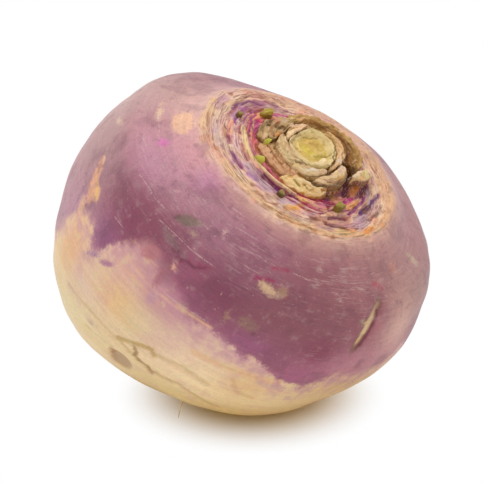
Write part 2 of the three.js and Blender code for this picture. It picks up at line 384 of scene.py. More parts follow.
class Skin(Finish):
    """Turnip skin: purple over cream with a ragged border, ring-wise fibres, pale specks, patches and cork.

    Clouds on "where" are round, and clouds on "rings" are drawn out round the root.
    """

    def __init__(self):
        super().__init__(bpy.data.materials.new("turnip_skin"))
        self.where, self.rings = self.field("grown", "Vector"), self.field("rings", "Vector")
        self.crown, self.cork, self.lined = self.field("crown"), self.field("cork"), self.field("lined")
        self.broad = self.noise(self.where, 0.16, 3.0, 0.55)
        self.middling = self.noise(self.where, 0.45, 4.0, 0.6)
        self.fine = self.noise(self.where, 1.9, 3.0, 0.6)
        self.streak = self.noise(self.rings, 1.0, 3.0, 0.65)
        self.thin_streak = self.noise(self.rings, 2.6, 2.0, 0.6)
        self.hair_line = self.noise(self.rings, 1.2, 2.0, 0.6, (1.3, 1.3, 2.6))
        gate = self.between(self.noise(self.where, 0.25, 2.0, 0.5) + self.lined * 0.2, 0.48, 0.62)
        self.gate = gate * (0.5 + self.lined * 0.7)
        dashes = self.noise(self.rings, 0.85, 3.0, 0.62)
        self.wine_dash = self.between(dashes, 0.55, 0.63) * self.crown * (1.0 - self.cork) * 0.5
        self.brown_dash = self.between(dashes, 0.42, 0.34) * self.crown * 0.25
        self.flecks = self.between(self.noise(self.rings, 1.5, 4.0, 0.75), 0.56, 0.64) * self.cork * 0.7
        # Long thin grooves, where cloudy noise drawn out along the rings passes its middle value.
        cloud = self.noise(self.rings, 1.4, 2.0, 0.55, (0.55, 0.55, 1.0)) - 0.5
        on_groove = self.between(cloud * cloud, 0.0012, 0.0002)
        self.groove = on_groove * self.crown * self.between(self.middling, 0.4, 0.54)

    def flesh(self, edge):
        """Cream flesh with orange, rosy and greenish clouds, and a blush near the edge of the purple."""
        orange = self.between(self.noise(self.rings, 0.5, 3.0, 0.55), 0.55, 0.72) * 0.4
        rosy = self.between(self.noise(self.where, 0.22, 3.0, 0.6), 0.5, 0.64) * 0.25
        green = self.between(self.middling, 0.46, 0.3) * 0.35
        blush = self.between(edge, -9.0, 0.5) * self.between(self.middling + self.fine * 0.3, 0.5, 0.78) * 0.8
        return self.layered(
            self.field("flesh_tone", "Color"), (orange, "e4ae72"), (rosy, "d8a29c"), (green, "dccb96"),
            (blush, "c78e9a"),
        )

    def flank(self, colour, purple):
        """The smooth sides: wine, dusty and plum clouds, then fine lines, scuffs, specks and dust."""
        off_crown = 1.0 - self.crown
        on_purple = purple * off_crown
        wine = self.between(self.broad, 0.5, 0.66) * on_purple * 0.34
        dusty = self.between(self.middling, 0.52, 0.72) * on_purple * 0.34
        plum = self.between(self.middling, 0.46, 0.3) * on_purple * 0.32
        colour = self.layered(colour, (wine, "713449"), (dusty, "b68f90"), (plum, "6f3d52"))
        colour = self.shaded(colour, 1.0 + swing(self.streak, 0.36) + swing(self.fine, 0.34))
        pale_line = self.between(self.hair_line, 0.6, 0.7) * off_crown * self.gate * 0.3
        dark_line = self.between(self.hair_line, 0.4, 0.32) * off_crown * self.gate * 0.25
        broken = self.noise(self.rings, 0.7, 4.0, 0.75, (3.2, 3.2, 1.0))
        scuff = self.between(broken, 0.55, 0.66) * self.lined * 0.45
        specks = self.between(self.cells(self.where, 0.28), 0.07, 0.03) * off_crown * 0.4
        dust = self.between(self.cells(self.where, 0.75), 0.16, 0.06) * off_crown * 0.2
        return self.layered(
            colour, (pale_line, "dcbcb2"), (dark_line, "7a4f55"), (scuff, "d2aca4"), (specks, "e2c0ac"),
            (dust, "dcb9a8"),
        )

    def crown_marks(self, colour):
        """The crown: wine and brown dashes, a blush, cream threads, flecks on the cork, and grooves."""
        blush = self.between(self.noise(self.rings, 0.55, 3.0, 0.55), 0.52, 0.64) * self.crown
        thread = self.between(self.thin_streak, 0.55, 0.64) * self.crown * (0.32 + self.cork * 0.3)
        light_flecks = self.between(self.noise(self.rings, 1.2, 3.0, 0.7), 0.54, 0.62) * self.cork * 0.6
        return self.layered(
            colour, (self.wine_dash, "9a3474"), (self.brown_dash, "b86c3c"),
            (blush * (1.0 - self.cork) * 0.3, "d0608c"), (thread, "ffe2be"), (self.flecks, "a06c44"),
            (light_flecks, "f4d8ae"), (self.groove * 0.6, self.blend(self.cork, "8c2a58", "a8683c")),
        )

    def scratches(self):
        """How strongly the pale scratches show: a frayed line, broken by fine noise."""
        frayed = self.field("scratch") + swing(self.fine, 0.3)
        on_line = self.between(frayed * frayed, 0.02, 0.0) * self.field("scratch_reach")
        return on_line * self.between(self.fine, 0.36, 0.56) * 0.5

    def relief(self):
        """Height of the fine skin: streaks, lines and grain up, dashes, flecks and grooves down."""
        return (
            (self.streak - 0.5) * (0.25 + self.crown * 0.5)
            + (self.hair_line - 0.5) * self.gate * 0.4
            + (self.fine - 0.5) * (0.5 + self.crown * 0.5)
            + swing(self.middling, 0.5)
            + (self.wine_dash + self.brown_dash) * -0.5
            + self.flecks * -0.6
            + self.groove * -0.35
        )

    def whole(self):
        """The finished skin: purple on one side of the wavering edge, cream on the other, then the marks."""
        edge = self.field("border") + swing(self.broad, 3.0)
        edge = edge + swing(self.middling, 4.0) + swing(self.fine, 2.0)
        softness = self.field("border_blur")
        purple = self.between(edge, softness * -1.0, softness)
        colour = self.blend(purple, self.flesh(edge), self.field("skin_tone", "Color"))
        torn = self.field("patch") + swing(self.fine, 1.3) + swing(self.middling, 1.6)
        patch = self.between(torn + swing(self.thin_streak, 0.9), -0.4, 0.7) * (0.66 + self.streak * 0.4)
        colour = self.blend(patch, colour, self.field("patch_tone", "Color"))
        colour = self.crown_marks(self.flank(colour, purple))
        colour = self.blend(self.scratches(), colour, "e2c2bc")
        roughness = 0.4 + swing(self.fine, 0.25) + self.crown * 0.25 + self.cork * 0.1
        return self.done(colour, roughness, self.bump(self.relief(), 0.0005, 0.8))


def stalk_finish(name, dark, light, contrast, roughness):
    """Leaf-stalk tissue: painted colour, fibres along the piece, darker pits and lighter threads."""
    f = Finish(bpy.data.materials.new(name))
    fibre = f.noise(f.field("grain", "Vector"), 1.0, 3.0, 0.6)
    pits = f.noise(f.field("grown", "Vector"), 1.1, 4.0, 0.65)
    colour = f.layered(
        f.field("tone", "Color"), (f.between(fibre, 0.52, 0.72) * contrast, dark),
        (f.between(fibre, 0.48, 0.3) * contrast, light), (f.between(pits, 0.58, 0.72) * contrast * 0.8, dark),
    )
    relief = (fibre - 0.5) + swing(pits, -0.8)
    return f.done(colour, roughness + swing(pits, 0.2), f.bump(relief, 0.0004, 0.8))


def bud_finish():
    """Waxy young leaf: yellow-green at the tip, browner at the foot, with faint veins."""
    f = Finish(bpy.data.materials.new("bud_green"))
    cloud = f.noise(f.field("grown", "Vector"), 1.6, 3.0, 0.6)
    colour = f.shaded(f.field("tone", "Color"), 0.85 + cloud * 0.3)
    return f.done(colour, 0.38 + swing(cloud, 0.2), f.bump(cloud, 0.0002, 0.6))


def rootlet_finish():
    """Dry root hair: pale fibre with browner bands."""
    f = Finish(bpy.data.materials.new("rootlet_dry"))
    cloud = f.noise(f.field("grown", "Vector"), 1.2, 3.0, 0.6)
    colour = f.blend(f.between(cloud, 0.4, 0.65), "d9c193", "b8935f")
    return f.done(colour, 0.7 + swing(cloud, 0.2), f.bump(cloud, 0.0002, 0.6))


# ------------------------------------------------------------ the root: painting by polar and bearing

# Purple skin from the crown's edge down: polar, colour.
PURPLE_RUN = [
    (36, "dcb4a0"), (41, "cfa398"), (45, "bc8a8a"), (49, "a8727b"), (53, "97606b"), (58, "8b5660"),
    (64, "87515c"), (70, "89545f"), (76, "925b69"), (82, "a06a78"), (90, "aa7885"), (110, "a87a88"),
    (180, "b08a90"),
]
# Cream flesh below: polar, colour.
CREAM_RUN = [
    (60, "c48a8c"), (70, "c98f8f"), (78, "d5a59e"), (84, "e1bca6"), (92, "e8c9a6"), (100, "eacca7"),
    (108, "e8cba0"), (118, "e4c896"), (135, "dcc08c"), (160, "d6bb88"), (172, "c09862"), (180, "a87f52"),
]


def run_colour(run, polar):
    """A colour for each polar angle, passing evenly from one named colour to the next."""
    at = np.array([p for p, _ in run], float)
    codes = np.array([paint(c) for _, c in run])
    return np.stack([np.interp(polar, at, codes[:, k]) for k in range(3)], -1)


# Soft washes over the purple skin: bearing, polar, spread round, spread down, colour, strength.
PURPLE_WASHES = [
    (-160, 66, 18, 20, "c7a59f", 0.9),  # greyer pink on the far left, partly painted sheen of the rim
    (-140, 74, 10, 10, "b39090", 0.7),
    (-152, 47, 18, 5, "e4b8ae", 0.8),  # rosy shoulder, left
    (-134, 57, 12, 6, "c28a92", 0.7),
    (-118, 47, 13, 6, "dba2a6", 0.8),
    (-102, 46.5, 5, 3.5, "c582ac", 0.7),
    (-119, 57, 12, 6, "bd8a9c", 0.8),
    (-93, 50, 10, 5, "b98c96", 0.7),
    (-108, 71, 8, 6, "7e3e54", 0.95),  # dark wine at the left front
    (-110, 83, 5, 4, "8c4f76", 0.85),
    (-127, 91, 8, 8, "b88e9b", 0.8),
    (-93, 67, 9, 4, "86475a", 0.85),
    (-69, 65, 7, 6, "6e2846", 0.98),  # darkest wine, front
    (-81, 68, 5, 4, "96506a", 0.6),
    (-82, 54, 9, 7, "ab7c8c", 0.6),
    (-63, 54, 9, 6, "ac7c8e", 0.7),
    (-38, 54, 22, 6, "8c565e", 0.75),  # dull wine above the front
    (-38, 64, 20, 6, "7e4a54", 0.75),
    (-30, 75, 4.5, 4, "762a44", 0.85),
    (-32, 85, 9, 4, "a0607c", 0.8),
    (-53, 78, 7, 3, "94587a", 0.6),
    (-78, 77, 7, 4, "a46480", 0.7),  # thinner purple, left of the front
    (-4, 52, 16, 8, "a2736f", 0.75),  # brownish rose, right
    (-13, 64, 6, 5, "984e60", 0.75),
    # pale rose at the right, partly painted sheen of the rim
    (1, 68, 7, 9, "dab0a2", 0.85),
    (14, 58, 10, 7, "ab8983", 0.8),
    (-12, 80, 10, 5, "c28a94", 0.7),
    (60, 50, 40, 10, "b48580", 0.6),  # the back
    (120, 60, 40, 16, "b08086", 0.5),
]
# Washes over the cream flesh.
CREAM_WASHES = [
    (-80, 80, 7, 5, "a05c80", 0.9),  # purple thinning out, left of the front
    (-118, 98, 6, 7, "e6ae7c", 0.85),  # orange-tan, left
    (-124, 88, 5, 5, "ecbc96", 0.6),
    (-107, 99, 6, 5, "dfbcae", 0.7),
    (-99, 82, 8, 4, "e3b6a8", 0.7),
    (-93, 92, 6, 4.5, "e8b880", 0.7),
    (-83, 93, 6, 6, "dfca9c", 0.7),
    (-73, 91, 7, 6, "e0bcae", 0.6),
    (-60, 83, 8, 3.5, "e2b8ac", 0.8),  # pinkish, under the wine
    (-84, 80, 7, 4, "d49c9c", 0.7),
    (-58, 100, 12, 8, "f8deb8", 0.8),
    (-46, 94, 5, 4, "dcaa72", 0.8),
    (-34, 101, 16, 9, "f6dcaa", 0.8),
    (-10, 90, 12, 6, "d8b478", 0.7),
    (-110, 114, 14, 8, "e6d4a8", 0.7),  # yellowish, lower left
    # These two washes are partly painted shade low on the front, near the floor.
    (-62, 113, 14, 6, "e0c88e", 0.6),  # olive tint below
    (-36, 113, 14, 6, "dcb66c", 0.7),
]
# Patches with ragged edges: bearing, polar, half length round, half length down, slant, colour, height.
PATCHES = [
    (-142, 47.3, 6.4, 3.7, 0.0, "f6be94", -0.1),  # peach scrape under the crown
    (-147, 54.6, 4.5, 0.9, 0.0, "e8c09a", -0.05),
    (-147, 67.0, 3.0, 1.2, -0.5, "d9b49c", 0.0),
    (-130.0, 78.6, 6.4, 2.9, 0.85, "f0b084", -0.15),  # orange scrape
    (-125.6, 79.0, 3.6, 1.9, 0.25, "f6bf72", -0.15),
    (-134.6, 73.8, 2.6, 1.1, 0.5, "f2bca0", -0.05),
    (-126, 86.5, 2.6, 2.0, 0.5, "e8b48e", 0.0),
    (-129, 53.3, 1.9, 1.8, 0.0, "dc72b0", 0.0),  # magenta spot
    (-57, 60.0, 3.0, 1.8, 0.2, "dcb68c", -0.15),  # olive-tan scab
    (-52, 59.2, 1.9, 1.6, 0.0, "a88064", -0.05),
    (-91.8, 57.7, 3.4, 2.0, -0.45, "80695a", -0.35),  # olive dents
    (-91, 65.0, 5.6, 1.5, 0.1, "8f6c6c", -0.15),
    (-87.5, 59.0, 1.6, 0.9, -0.2, "c4a08a", 0.0),
    (-57, 71.8, 3.6, 2.0, 0.1, "94695c", 0.0),
    (-64, 73.0, 1.0, 1.6, 0.0, "a67e60", 0.0),
    (-103.3, 86.8, 2.9, 1.3, -0.62, "a5648a", 0.0),  # purple islands below the border
    (-109.5, 89.6, 2.4, 0.9, -0.6, "9c6c92", 0.0),
    (-87, 75.5, 1.5, 4.5, 0.1, "b06a76", 0.0),
    (-85, 82.0, 1.7, 2.4, 0.0, "c894a0", 0.0),
    (-85.6, 70.6, 0.9, 1.3, 0.0, "e2a48e", 0.0),
    (-94, 72.5, 3.0, 2.8, -0.3, "bc7478", 0.0),
    (-84, 113.4, 4.3, 4.8, 0.0, "b08c64", -0.6),  # brown dent low on the front
    (-87.2, 113.0, 1.8, 3.2, 0.1, "a06c44", -0.2),
    (-98, 107.8, 1.7, 1.2, -0.2, "bf9f84", -0.1),
    (3, 51, 2.0, 1.8, 0.0, "cc8672", 0.0),
    (19, 53, 1.6, 2.4, 0.3, "c0a283", 0.0),
    (-38.5, 49.5, 1.8, 0.6, 0.0, "c69a94", 0.0),
    (-80, 53, 0.8, 0.8, 0.0, "f0c4b0", 0.0),
]
# Small marks: path of (bearing, polar), half width, colour, strength, height.
MARKS = [
    # gash
    ([(-12.2, 58), (-14.6, 60), (-16.4, 63.5), (-17.4, 68), (-17.8, 73)], 1.0, "7a5640", 0.8, -0.3),
    ([(-20.5, 63), (-17, 63.6)], 0.5, "7a5c48", 0.8, -0.2),
    ([(-13.4, 59.6), (-14.8, 64), (-15.6, 69), (-16.6, 73)], 0.4, "642530", 0.9, -0.1),
    ([(-18.4, 62), (-18.9, 66), (-18.6, 70)], 0.3, "5c4030", 0.8, -0.1),
    ([(-12.8, 58.4), (-15.2, 60.3), (-16.7, 64), (-17.4, 68), (-17.8, 71)], 0.4, "cba984", 0.95, -0.1),
    ([(-15.6, 61.4), (-16.8, 64), (-17.3, 67)], 0.72, "d6b892", 0.95, 0.05),
    ([(-19.8, 63), (-17.5, 63.5)], 0.3, "c9aa88", 0.85, 0.0),
    # red squiggle, then short red and brown marks on the purple
    ([(-90.5, 65.4), (-88.5, 66.2), (-86.5, 66.6), (-85, 67.6), (-84, 66), (-80.5, 66.2), (-77.5, 64.6)],
     0.3, "6d2c44", 0.85, -0.08),
    ([(-83, 65.2), (-79.5, 64.6), (-75, 62.8)], 0.22, "8a3450", 0.6, 0.0),
    ([(-62.5, 58.8), (-60, 58.2), (-56.5, 57.4)], 0.4, "8f2f52", 0.85, 0.0),
    ([(-51.5, 58.4), (-50.5, 60)], 0.3, "8f3a4c", 0.7, 0.0),
    ([(-59, 54.4), (-56, 53.6), (-52, 53)], 0.25, "98304e", 0.75, 0.0),
    ([(-12.5, 53), (-10.5, 53.4), (-8.5, 54.6)], 0.35, "a23c50", 0.8, 0.0),
    ([(-95.8, 59.6), (-93.5, 59.2), (-91, 58.6)], 0.4, "55403a", 0.75, -0.1),
    ([(-54.3, 73.8), (-53.9, 74)], 0.4, "5f3440", 0.8, -0.1),
    # ear-shaped scar, then faint tan scars and pale lines on the cream
    ([(-87.5, 103.5), (-84, 101.2), (-80, 98.6), (-76.6, 97.2), (-75.2, 98.8)], 0.6, "b08c48", 0.75, -0.2),
    ([(-81.5, 101.5), (-80, 103), (-80.6, 104.6), (-78, 105.6), (-75, 106), (-73, 108)],
     0.5, "94703a", 0.85, -0.25),
    ([(-86, 104), (-82, 104.6)], 0.35, "b8985c", 0.6, -0.1),
    ([(-75, 105.4), (-73.2, 107), (-71.8, 105.6)], 0.5, "a5803e", 0.7, -0.1),
    ([(-74, 97.6), (-66, 96), (-57, 98)], 0.6, "c2a473", 0.5, -0.2),
    ([(-71, 106.6), (-64, 104.6), (-56, 107), (-48, 110)], 0.6, "b0915a", 0.5, -0.25),
    ([(-113, 106.4), (-101, 104.2), (-88, 104.4)], 0.4, "c09c74", 0.45, -0.2),
    ([(-100, 112), (-92, 110), (-88, 109)], 0.4, "c4a676", 0.4, -0.2),
    ([(-52, 91.5), (-48, 96.5), (-42, 97.5)], 0.4, "c89a64", 0.5, -0.1),
    ([(-66, 88.8), (-52, 88.2), (-38, 88.4)], 0.8, "dfae78", 0.5, 0.0),
    ([(-99, 79.8), (-91, 79.2)], 0.35, "eebb98", 0.6, 0.0),
    ([(-83, 79.4), (-75, 78.8), (-66, 78.4)], 0.38, "f2c49c", 0.7, 0.08),
]
# Pale scratches that run round the root: path of (bearing, polar).
SCRATCHES = [
    [(-131.5, 58.3), (-128.5, 57.8)],
    [(-116.5, 62.0), (-112, 61.4), (-109, 61.2)],
    [(-106, 61.2), (-101, 60.6)],
    [(-98.5, 63.7), (-92, 63.0), (-84, 62.9), (-76, 62.4)],
    [(-111.5, 75.6), (-107.5, 75.0)],
    [(-98, 80.6), (-91, 79.8)],
    [(-82, 78.4), (-75, 77.8), (-68, 77.5)],
    [(-85, 45.5), (-80, 45.2)],
    [(-78, 49.5), (-70, 49.0)],
    [(-81, 52.9), (-79, 53.2)],
    [(-49, 53.0), (-44, 53.4)],
    [(-146, 54.6), (-136, 54.0)],
    [(-12, 50.2), (-10, 50.1)],
]
# Edge of the purple: bearing, polar.
BORDER = [
    (-180, 104), (-165, 110), (-150, 113), (-140, 107), (-133, 103), (-129, 96), (-126, 89), (-122, 85.5),
    (-117, 84), (-113.5, 87), (-111, 88.5), (-108, 85), (-105.5, 80.5), (-102.5, 77), (-98, 72.8),
    (-93, 71.5), (-86, 74), (-80, 76), (-72, 78.5), (-66, 79), (-60, 79.5), (-53, 82), (-48, 81.5),
    (-44, 84), (-39, 87), (-30, 89), (-25, 87.8), (-20, 85), (-12, 86), (-4, 86), (3, 84), (8, 79),
    (14, 82), (22, 89), (32, 92), (60, 88), (90, 93), (120, 90), (150, 97), (180, 104),
]


def from_path(points, path):
    """Signed side and distance, in mm, from points to a path of (bearing, polar) drawn on the ball."""
    bearings, polars = np.array(path, float).T
    way = outward(polars, bearings) * BALL_RADIUS
    best = np.full(points.shape[0], FAR)
    side = np.full(points.shape[0], FAR)
    for a, b in zip(way[:-1], way[1:]):
        along = b - a
        t = np.clip((points - a) @ along / (along @ along), 0.0, 1.0)
        gap = np.linalg.norm(points - a - t[:, None] * along, axis=1)
        across = np.cross(a, along)
        across = across / np.linalg.norm(across)
        nearer = gap < best
        side[nearer] = (points @ across)[nearer]
        best = np.minimum(best, gap)
    return side, best


# Strokes on the crown: path of (bearing, distance from the axis), half width, colour, strength, height.
CROWN_STROKES = [
    # broad grounds under the rest
    ([(150, 17.4), (166, 17.6), (182, 17.4), (198, 17.0)], 1.5, "9a6a7c", 0.6, -0.1),
    ([(206, 19.4), (232, 19.2), (256, 19.6), (290, 19.8)], 1.2, "fde2d0", 0.6, 0.1),
    ([(226, 15.9), (262, 16.2)], 1.0, "f0d0dc", 0.5, 0.0),
    ([(318, 17.6), (330, 17.2), (344, 17.0)], 1.2, "b07a6c", 0.6, -0.1),
    ([(356, 17.0), (372, 17.2), (388, 17.4)], 0.7, "a07884", 0.5, -0.1),
    ([(280, 14.0), (300, 13.9), (322, 13.9)], 0.5, "8a2c58", 0.6, -0.2),
    ([(172, 14.6), (190, 14.2)], 0.8, "f2a088", 0.6, 0.0),
    # pale cork round the outside
    ([(195, 22.6), (215, 22.6), (232, 22.2)], 0.9, "ecc79c", 0.7, 0.15),
    ([(232, 22.4), (240, 21.2), (250, 20.8)], 0.8, "ecb8a0", 0.6, 0.1),
    ([(250, 20.6), (265, 20.6), (285, 20.4), (300, 20.4)], 0.9, "f0c8a4", 0.8, 0.25),
    ([(300, 20.6), (320, 20.2), (335, 20.0), (350, 20.2), (365, 20.4), (385, 20.8), (400, 21.2)],
     0.9, "e8b890", 0.8, 0.25),
    ([(185, 19.8), (191, 20.2)], 0.5, "e8c490", 0.6, 0.1),
    ([(188, 21.4), (200, 21.2)], 0.8, "dcb8bc", 0.8, 0.0),
    ([(213, 20.0), (225, 20.2), (238, 19.8)], 0.7, "c9aaae", 0.7, 0.0),
    ([(205, 19.6), (215, 19.0)], 0.6, "e8bcb0", 0.6, 0.0),
    ([(240, 19.4), (255, 19.2)], 0.8, "e6b8a6", 0.6, 0.0),
    ([(264, 18.9), (280, 18.9)], 0.6, "e8bc98", 0.6, 0.1),
    ([(207, 17.2), (214, 17.0), (220, 17.2)], 0.7, "e8a898", 0.7, 0.0),
    ([(240, 16.4), (250, 16.0)], 0.4, "e6c4a0", 0.6, 0.0),
    ([(202, 16.3), (208, 16.2), (214, 16.0)], 0.4, "f4dcd0", 0.8, 0.0),
    ([(340, 19.6), (348, 19.8), (356, 20.1)], 0.5, "e6a574", 0.7, 0.1),
    ([(356, 20.2), (361, 20.2)], 0.55, "dc9058", 0.8, 0.1),
    ([(332, 19.6), (340, 19.6)], 0.6, "eccc9c", 0.7, 0.1),
    ([(40, 20.6), (75, 20.5)], 1.8, "dfb491", 0.7, 0.2),
    ([(75, 21.0), (120, 21.0), (165, 22.0)], 2.0, "dcb496", 0.6, 0.2),
    ([(376, 15.8), (388, 16.0)], 0.3, "d8b088", 0.6, 0.1),
    # lilac skin left between the scars
    ([(256, 15.7), (268, 15.6), (278, 15.6)], 1.1, "ceb2b8", 0.85, 0.0),
    ([(291, 16.9), (297, 16.0), (304, 14.8)], 0.8, "dcc0c4", 0.9, 0.0),
    ([(352, 18.6), (358, 18.0), (366, 17.4)], 1.2, "cbaeb6", 0.9, 0.0),
    ([(385, 16.4), (393, 16.0), (402, 15.9)], 0.4, "b8a4b4", 0.7, 0.0),
    ([(320, 19.2), (330, 19.0)], 0.55, "bc9498", 0.7, 0.0),
    ([(184, 17.9), (194, 17.7), (203, 17.4)], 0.7, "b88ca4", 0.7, 0.0),
    ([(262, 17.0), (267, 16.8)], 0.6, "b288b2", 0.75, -0.1),
    ([(248, 18.0), (251, 18.6)], 0.4, "c090ac", 0.7, 0.0),
    # violet, plum and brown grooves
    ([(163, 17.9), (172, 18.9), (184, 19.2), (193, 18.8)], 0.45, "7a4a70", 0.9, -0.2),
    ([(186, 18.6), (196, 18.5), (206, 18.3)], 0.35, "b07c76", 0.5, -0.1),
    ([(165, 17.6), (172, 17.0), (182, 16.2)], 0.5, "a06076", 0.7, -0.1),
    ([(166, 20.4), (174, 20.2), (182, 19.9)], 0.35, "8f6250", 0.7, -0.2),
    ([(165, 16.0), (170, 15.7), (176, 15.4)], 0.7, "9c5020", 0.85, -0.1),
    ([(176, 16.9), (186, 16.7), (194, 16.4)], 0.3, "9e625c", 0.5, -0.1),
    ([(184, 15.0), (194, 14.9), (200, 14.5)], 0.35, "b06a62", 0.6, -0.1),
    ([(205, 15.4), (216, 15.3), (228, 15.2)], 0.3, "c48e78", 0.5, -0.1),
    ([(217, 18.2), (222, 18.4), (226, 18.2)], 0.4, "ac7c52", 0.7, -0.15),
    ([(225, 17.8), (229, 17.6), (232, 17.4)], 0.4, "a46076", 0.8, -0.15),
    ([(233, 14.6), (242, 14.7), (249, 14.8)], 0.5, "b47c74", 0.7, -0.15),
    ([(241, 17.7), (246, 17.5), (256, 17.6)], 0.5, "8e5c7e", 0.9, -0.2),
    ([(283, 17.6), (287, 16.6)], 0.8, "a88c7a", 0.6, 0.0),
    ([(263, 14.2), (270, 14.1)], 0.6, "a07a90", 0.7, -0.1),
    ([(270, 13.9), (278, 13.9), (286, 13.9)], 0.75, "642440", 0.9, -0.4),
    ([(284, 14.4), (290, 14.4), (295, 14.0)], 0.6, "6e2a78", 0.9, -0.3),
    ([(293, 13.9), (299, 13.8), (304, 13.7)], 0.42, "762434", 0.9, -0.3),
    ([(305, 13.9), (314, 14.2), (326, 14.4)], 0.32, "b04468", 0.85, -0.15),
    ([(326, 17.8), (334, 18.2), (342, 19.0)], 0.34, "451616", 0.9, -0.3),
    ([(331, 16.2), (337, 16.1), (344, 16.3)], 0.4, "5c1e36", 0.9, -0.3),
    ([(338, 18.5), (345, 18.8), (352, 19.0)], 0.25, "9c5242", 0.8, -0.15),
    ([(343, 16.1), (351, 15.9)], 0.3, "9c5c56", 0.7, -0.1),
    ([(353, 15.5), (360, 15.1), (372, 15.0), (384, 15.1), (390, 15.4)], 0.34, "8c3a78", 0.9, -0.2),
    ([(366, 16.2), (374, 16.6), (382, 16.9), (392, 17.6), (401, 18.4)], 0.42, "5c3a6a", 0.95, -0.2),
    ([(372, 16.7), (380, 17.0)], 0.5, "5a3838", 0.8, -0.2),
    ([(366, 18.4), (374, 18.6), (381, 18.7)], 0.42, "6c4c42", 0.8, -0.1),
    ([(276, 19.4), (284, 19.2), (290, 18.2)], 0.4, "a8714a", 0.7, -0.15),
    ([(139, 15.6), (150, 14.9), (162, 14.3)], 0.5, "bc4884", 0.8, -0.1),
    ([(124, 16.2), (130, 15.8), (136, 15.6)], 0.8, "a8783a", 0.8, 0.1),
    # pinks and wines inside the ridge
    ([(171, 13.2), (182, 13.0), (190, 12.7)], 0.7, "e07f80", 0.8, 0.0),
    ([(190, 12.9), (198, 12.3), (206, 11.9), (214, 11.7)], 0.7, "dd7cac", 0.9, 0.0),
    ([(208, 11.8), (220, 11.6), (228, 11.7)], 0.6, "e5808c", 0.8, 0.0),
    ([(204, 13.1), (214, 12.6), (222, 12.5)], 0.5, "e8a070", 0.7, 0.1),
    ([(224, 12.9), (232, 13.0), (240, 12.8)], 0.5, "e0a0a8", 0.7, 0.0),
    ([(228, 11.3), (236, 11.2)], 0.8, "b5684c", 0.8, 0.0),
    ([(252, 11.6), (257, 11.9)], 0.5, "b05a44", 0.8, -0.1),
    ([(255, 11.3), (262, 11.0), (267, 11.6)], 0.7, "e08a98", 0.85, 0.0),
    ([(264, 11.7), (272, 11.3), (282, 11.1)], 0.7, "b8586a", 0.85, -0.1),
    ([(286, 12.2), (295, 12.4), (303, 12.4)], 0.4, "d09078", 0.7, 0.1),
    ([(292, 11.6), (300, 11.2)], 0.5, "d88a80", 0.6, 0.0),
    ([(284, 13.2), (294, 13.1)], 0.4, "b06868", 0.7, 0.0),
    ([(298, 12.4), (306, 11.9), (314, 11.5), (322, 11.2), (331, 10.9)], 0.7, "a82c58", 0.95, -0.15),
    ([(320, 12.6), (328, 12.2), (334, 11.8)], 0.6, "bc4c6c", 0.85, 0.0),
    ([(306, 13.3), (312, 13.1), (318, 13.2)], 0.6, "f0c08c", 0.8, 0.1),
    ([(316, 13.5), (322, 13.3), (328, 12.9)], 0.6, "e296a4", 0.8, 0.0),
    ([(331, 12.4), (336, 11.8), (340, 11.3)], 0.6, "98386e", 0.9, -0.1),
    ([(334, 13.2), (339, 12.6), (345, 12.2)], 0.7, "7c0a3c", 0.95, -0.3),
    ([(350, 12.7), (357, 12.7), (366, 12.7), (373, 13.1)], 0.6, "b4407c", 0.95, -0.1),
    ([(373, 13.2), (382, 13.7), (392, 14.0)], 0.45, "8c4464", 0.85, -0.2),
    ([(385, 14.0), (392, 14.4), (400, 15.0), (408, 15.8)], 0.8, "5a1428", 0.95, -0.5),
    ([(374, 11.6), (384, 11.2), (396, 10.9)], 0.8, "5c1430", 0.9, -0.4),
    ([(378, 12.8), (388, 12.8), (396, 13.1)], 0.5, "a8683a", 0.8, 0.1),
    # cream and orange threads between them, and the long cream ridge
    ([(175, 14.4), (188, 14.1), (200, 13.7), (208, 13.2)], 0.45, "f4b888", 0.85, 0.2),
    ([(200, 14.1), (210, 13.8), (221, 13.4)], 0.3, "b4585c", 0.8, -0.1),
    ([(354, 13.9), (362, 14.0), (370, 13.9)], 0.5, "f4b888", 0.85, 0.1),
    ([(363, 14.5), (370, 14.5), (376, 14.5)], 0.3, "bc8238", 0.8, 0.0),
    ([(300, 17.4), (303, 16.4), (306, 15.3)], 0.9, "f0b474", 0.85, 0.1),
    ([(206, 14.6), (213, 14.4), (222, 14.1), (238, 13.7), (255, 13.3), (271, 12.9), (287, 12.8), (300, 13.0)],
     0.38, "ffdfb4", 1.0, 0.45),
    # thin threads and grooves over the rest
    ([(302, 13.4), (312, 13.5), (322, 13.5)], 0.14, "f6cca0", 0.9, 0.15),
    ([(296, 12.0), (306, 12.4), (316, 12.5), (326, 12.3)], 0.14, "f0b8a0", 0.85, 0.15),
    ([(290, 14.9), (300, 15.2), (312, 15.5), (322, 15.4), (330, 14.8)], 0.26, "8c2858", 0.9, -0.2),
    ([(334, 14.2), (346, 14.4), (356, 14.5)], 0.2, "7c3058", 0.85, -0.15),
    ([(179, 17.5), (193, 17.2), (208, 16.6)], 0.22, "84508c", 0.85, -0.15),
    ([(176, 16.0), (199, 15.2), (219, 14.9)], 0.2, "a4587a", 0.85, -0.15),
    ([(176, 15.0), (194, 14.0), (213, 13.1)], 0.24, "9c3c78", 0.9, -0.15),
    ([(197, 13.3), (212, 12.6), (224, 12.4)], 0.16, "f8caa0", 0.85, 0.15),
    ([(328, 15.0), (340, 14.9), (350, 14.8)], 0.2, "f4c8a0", 0.8, 0.1),
]
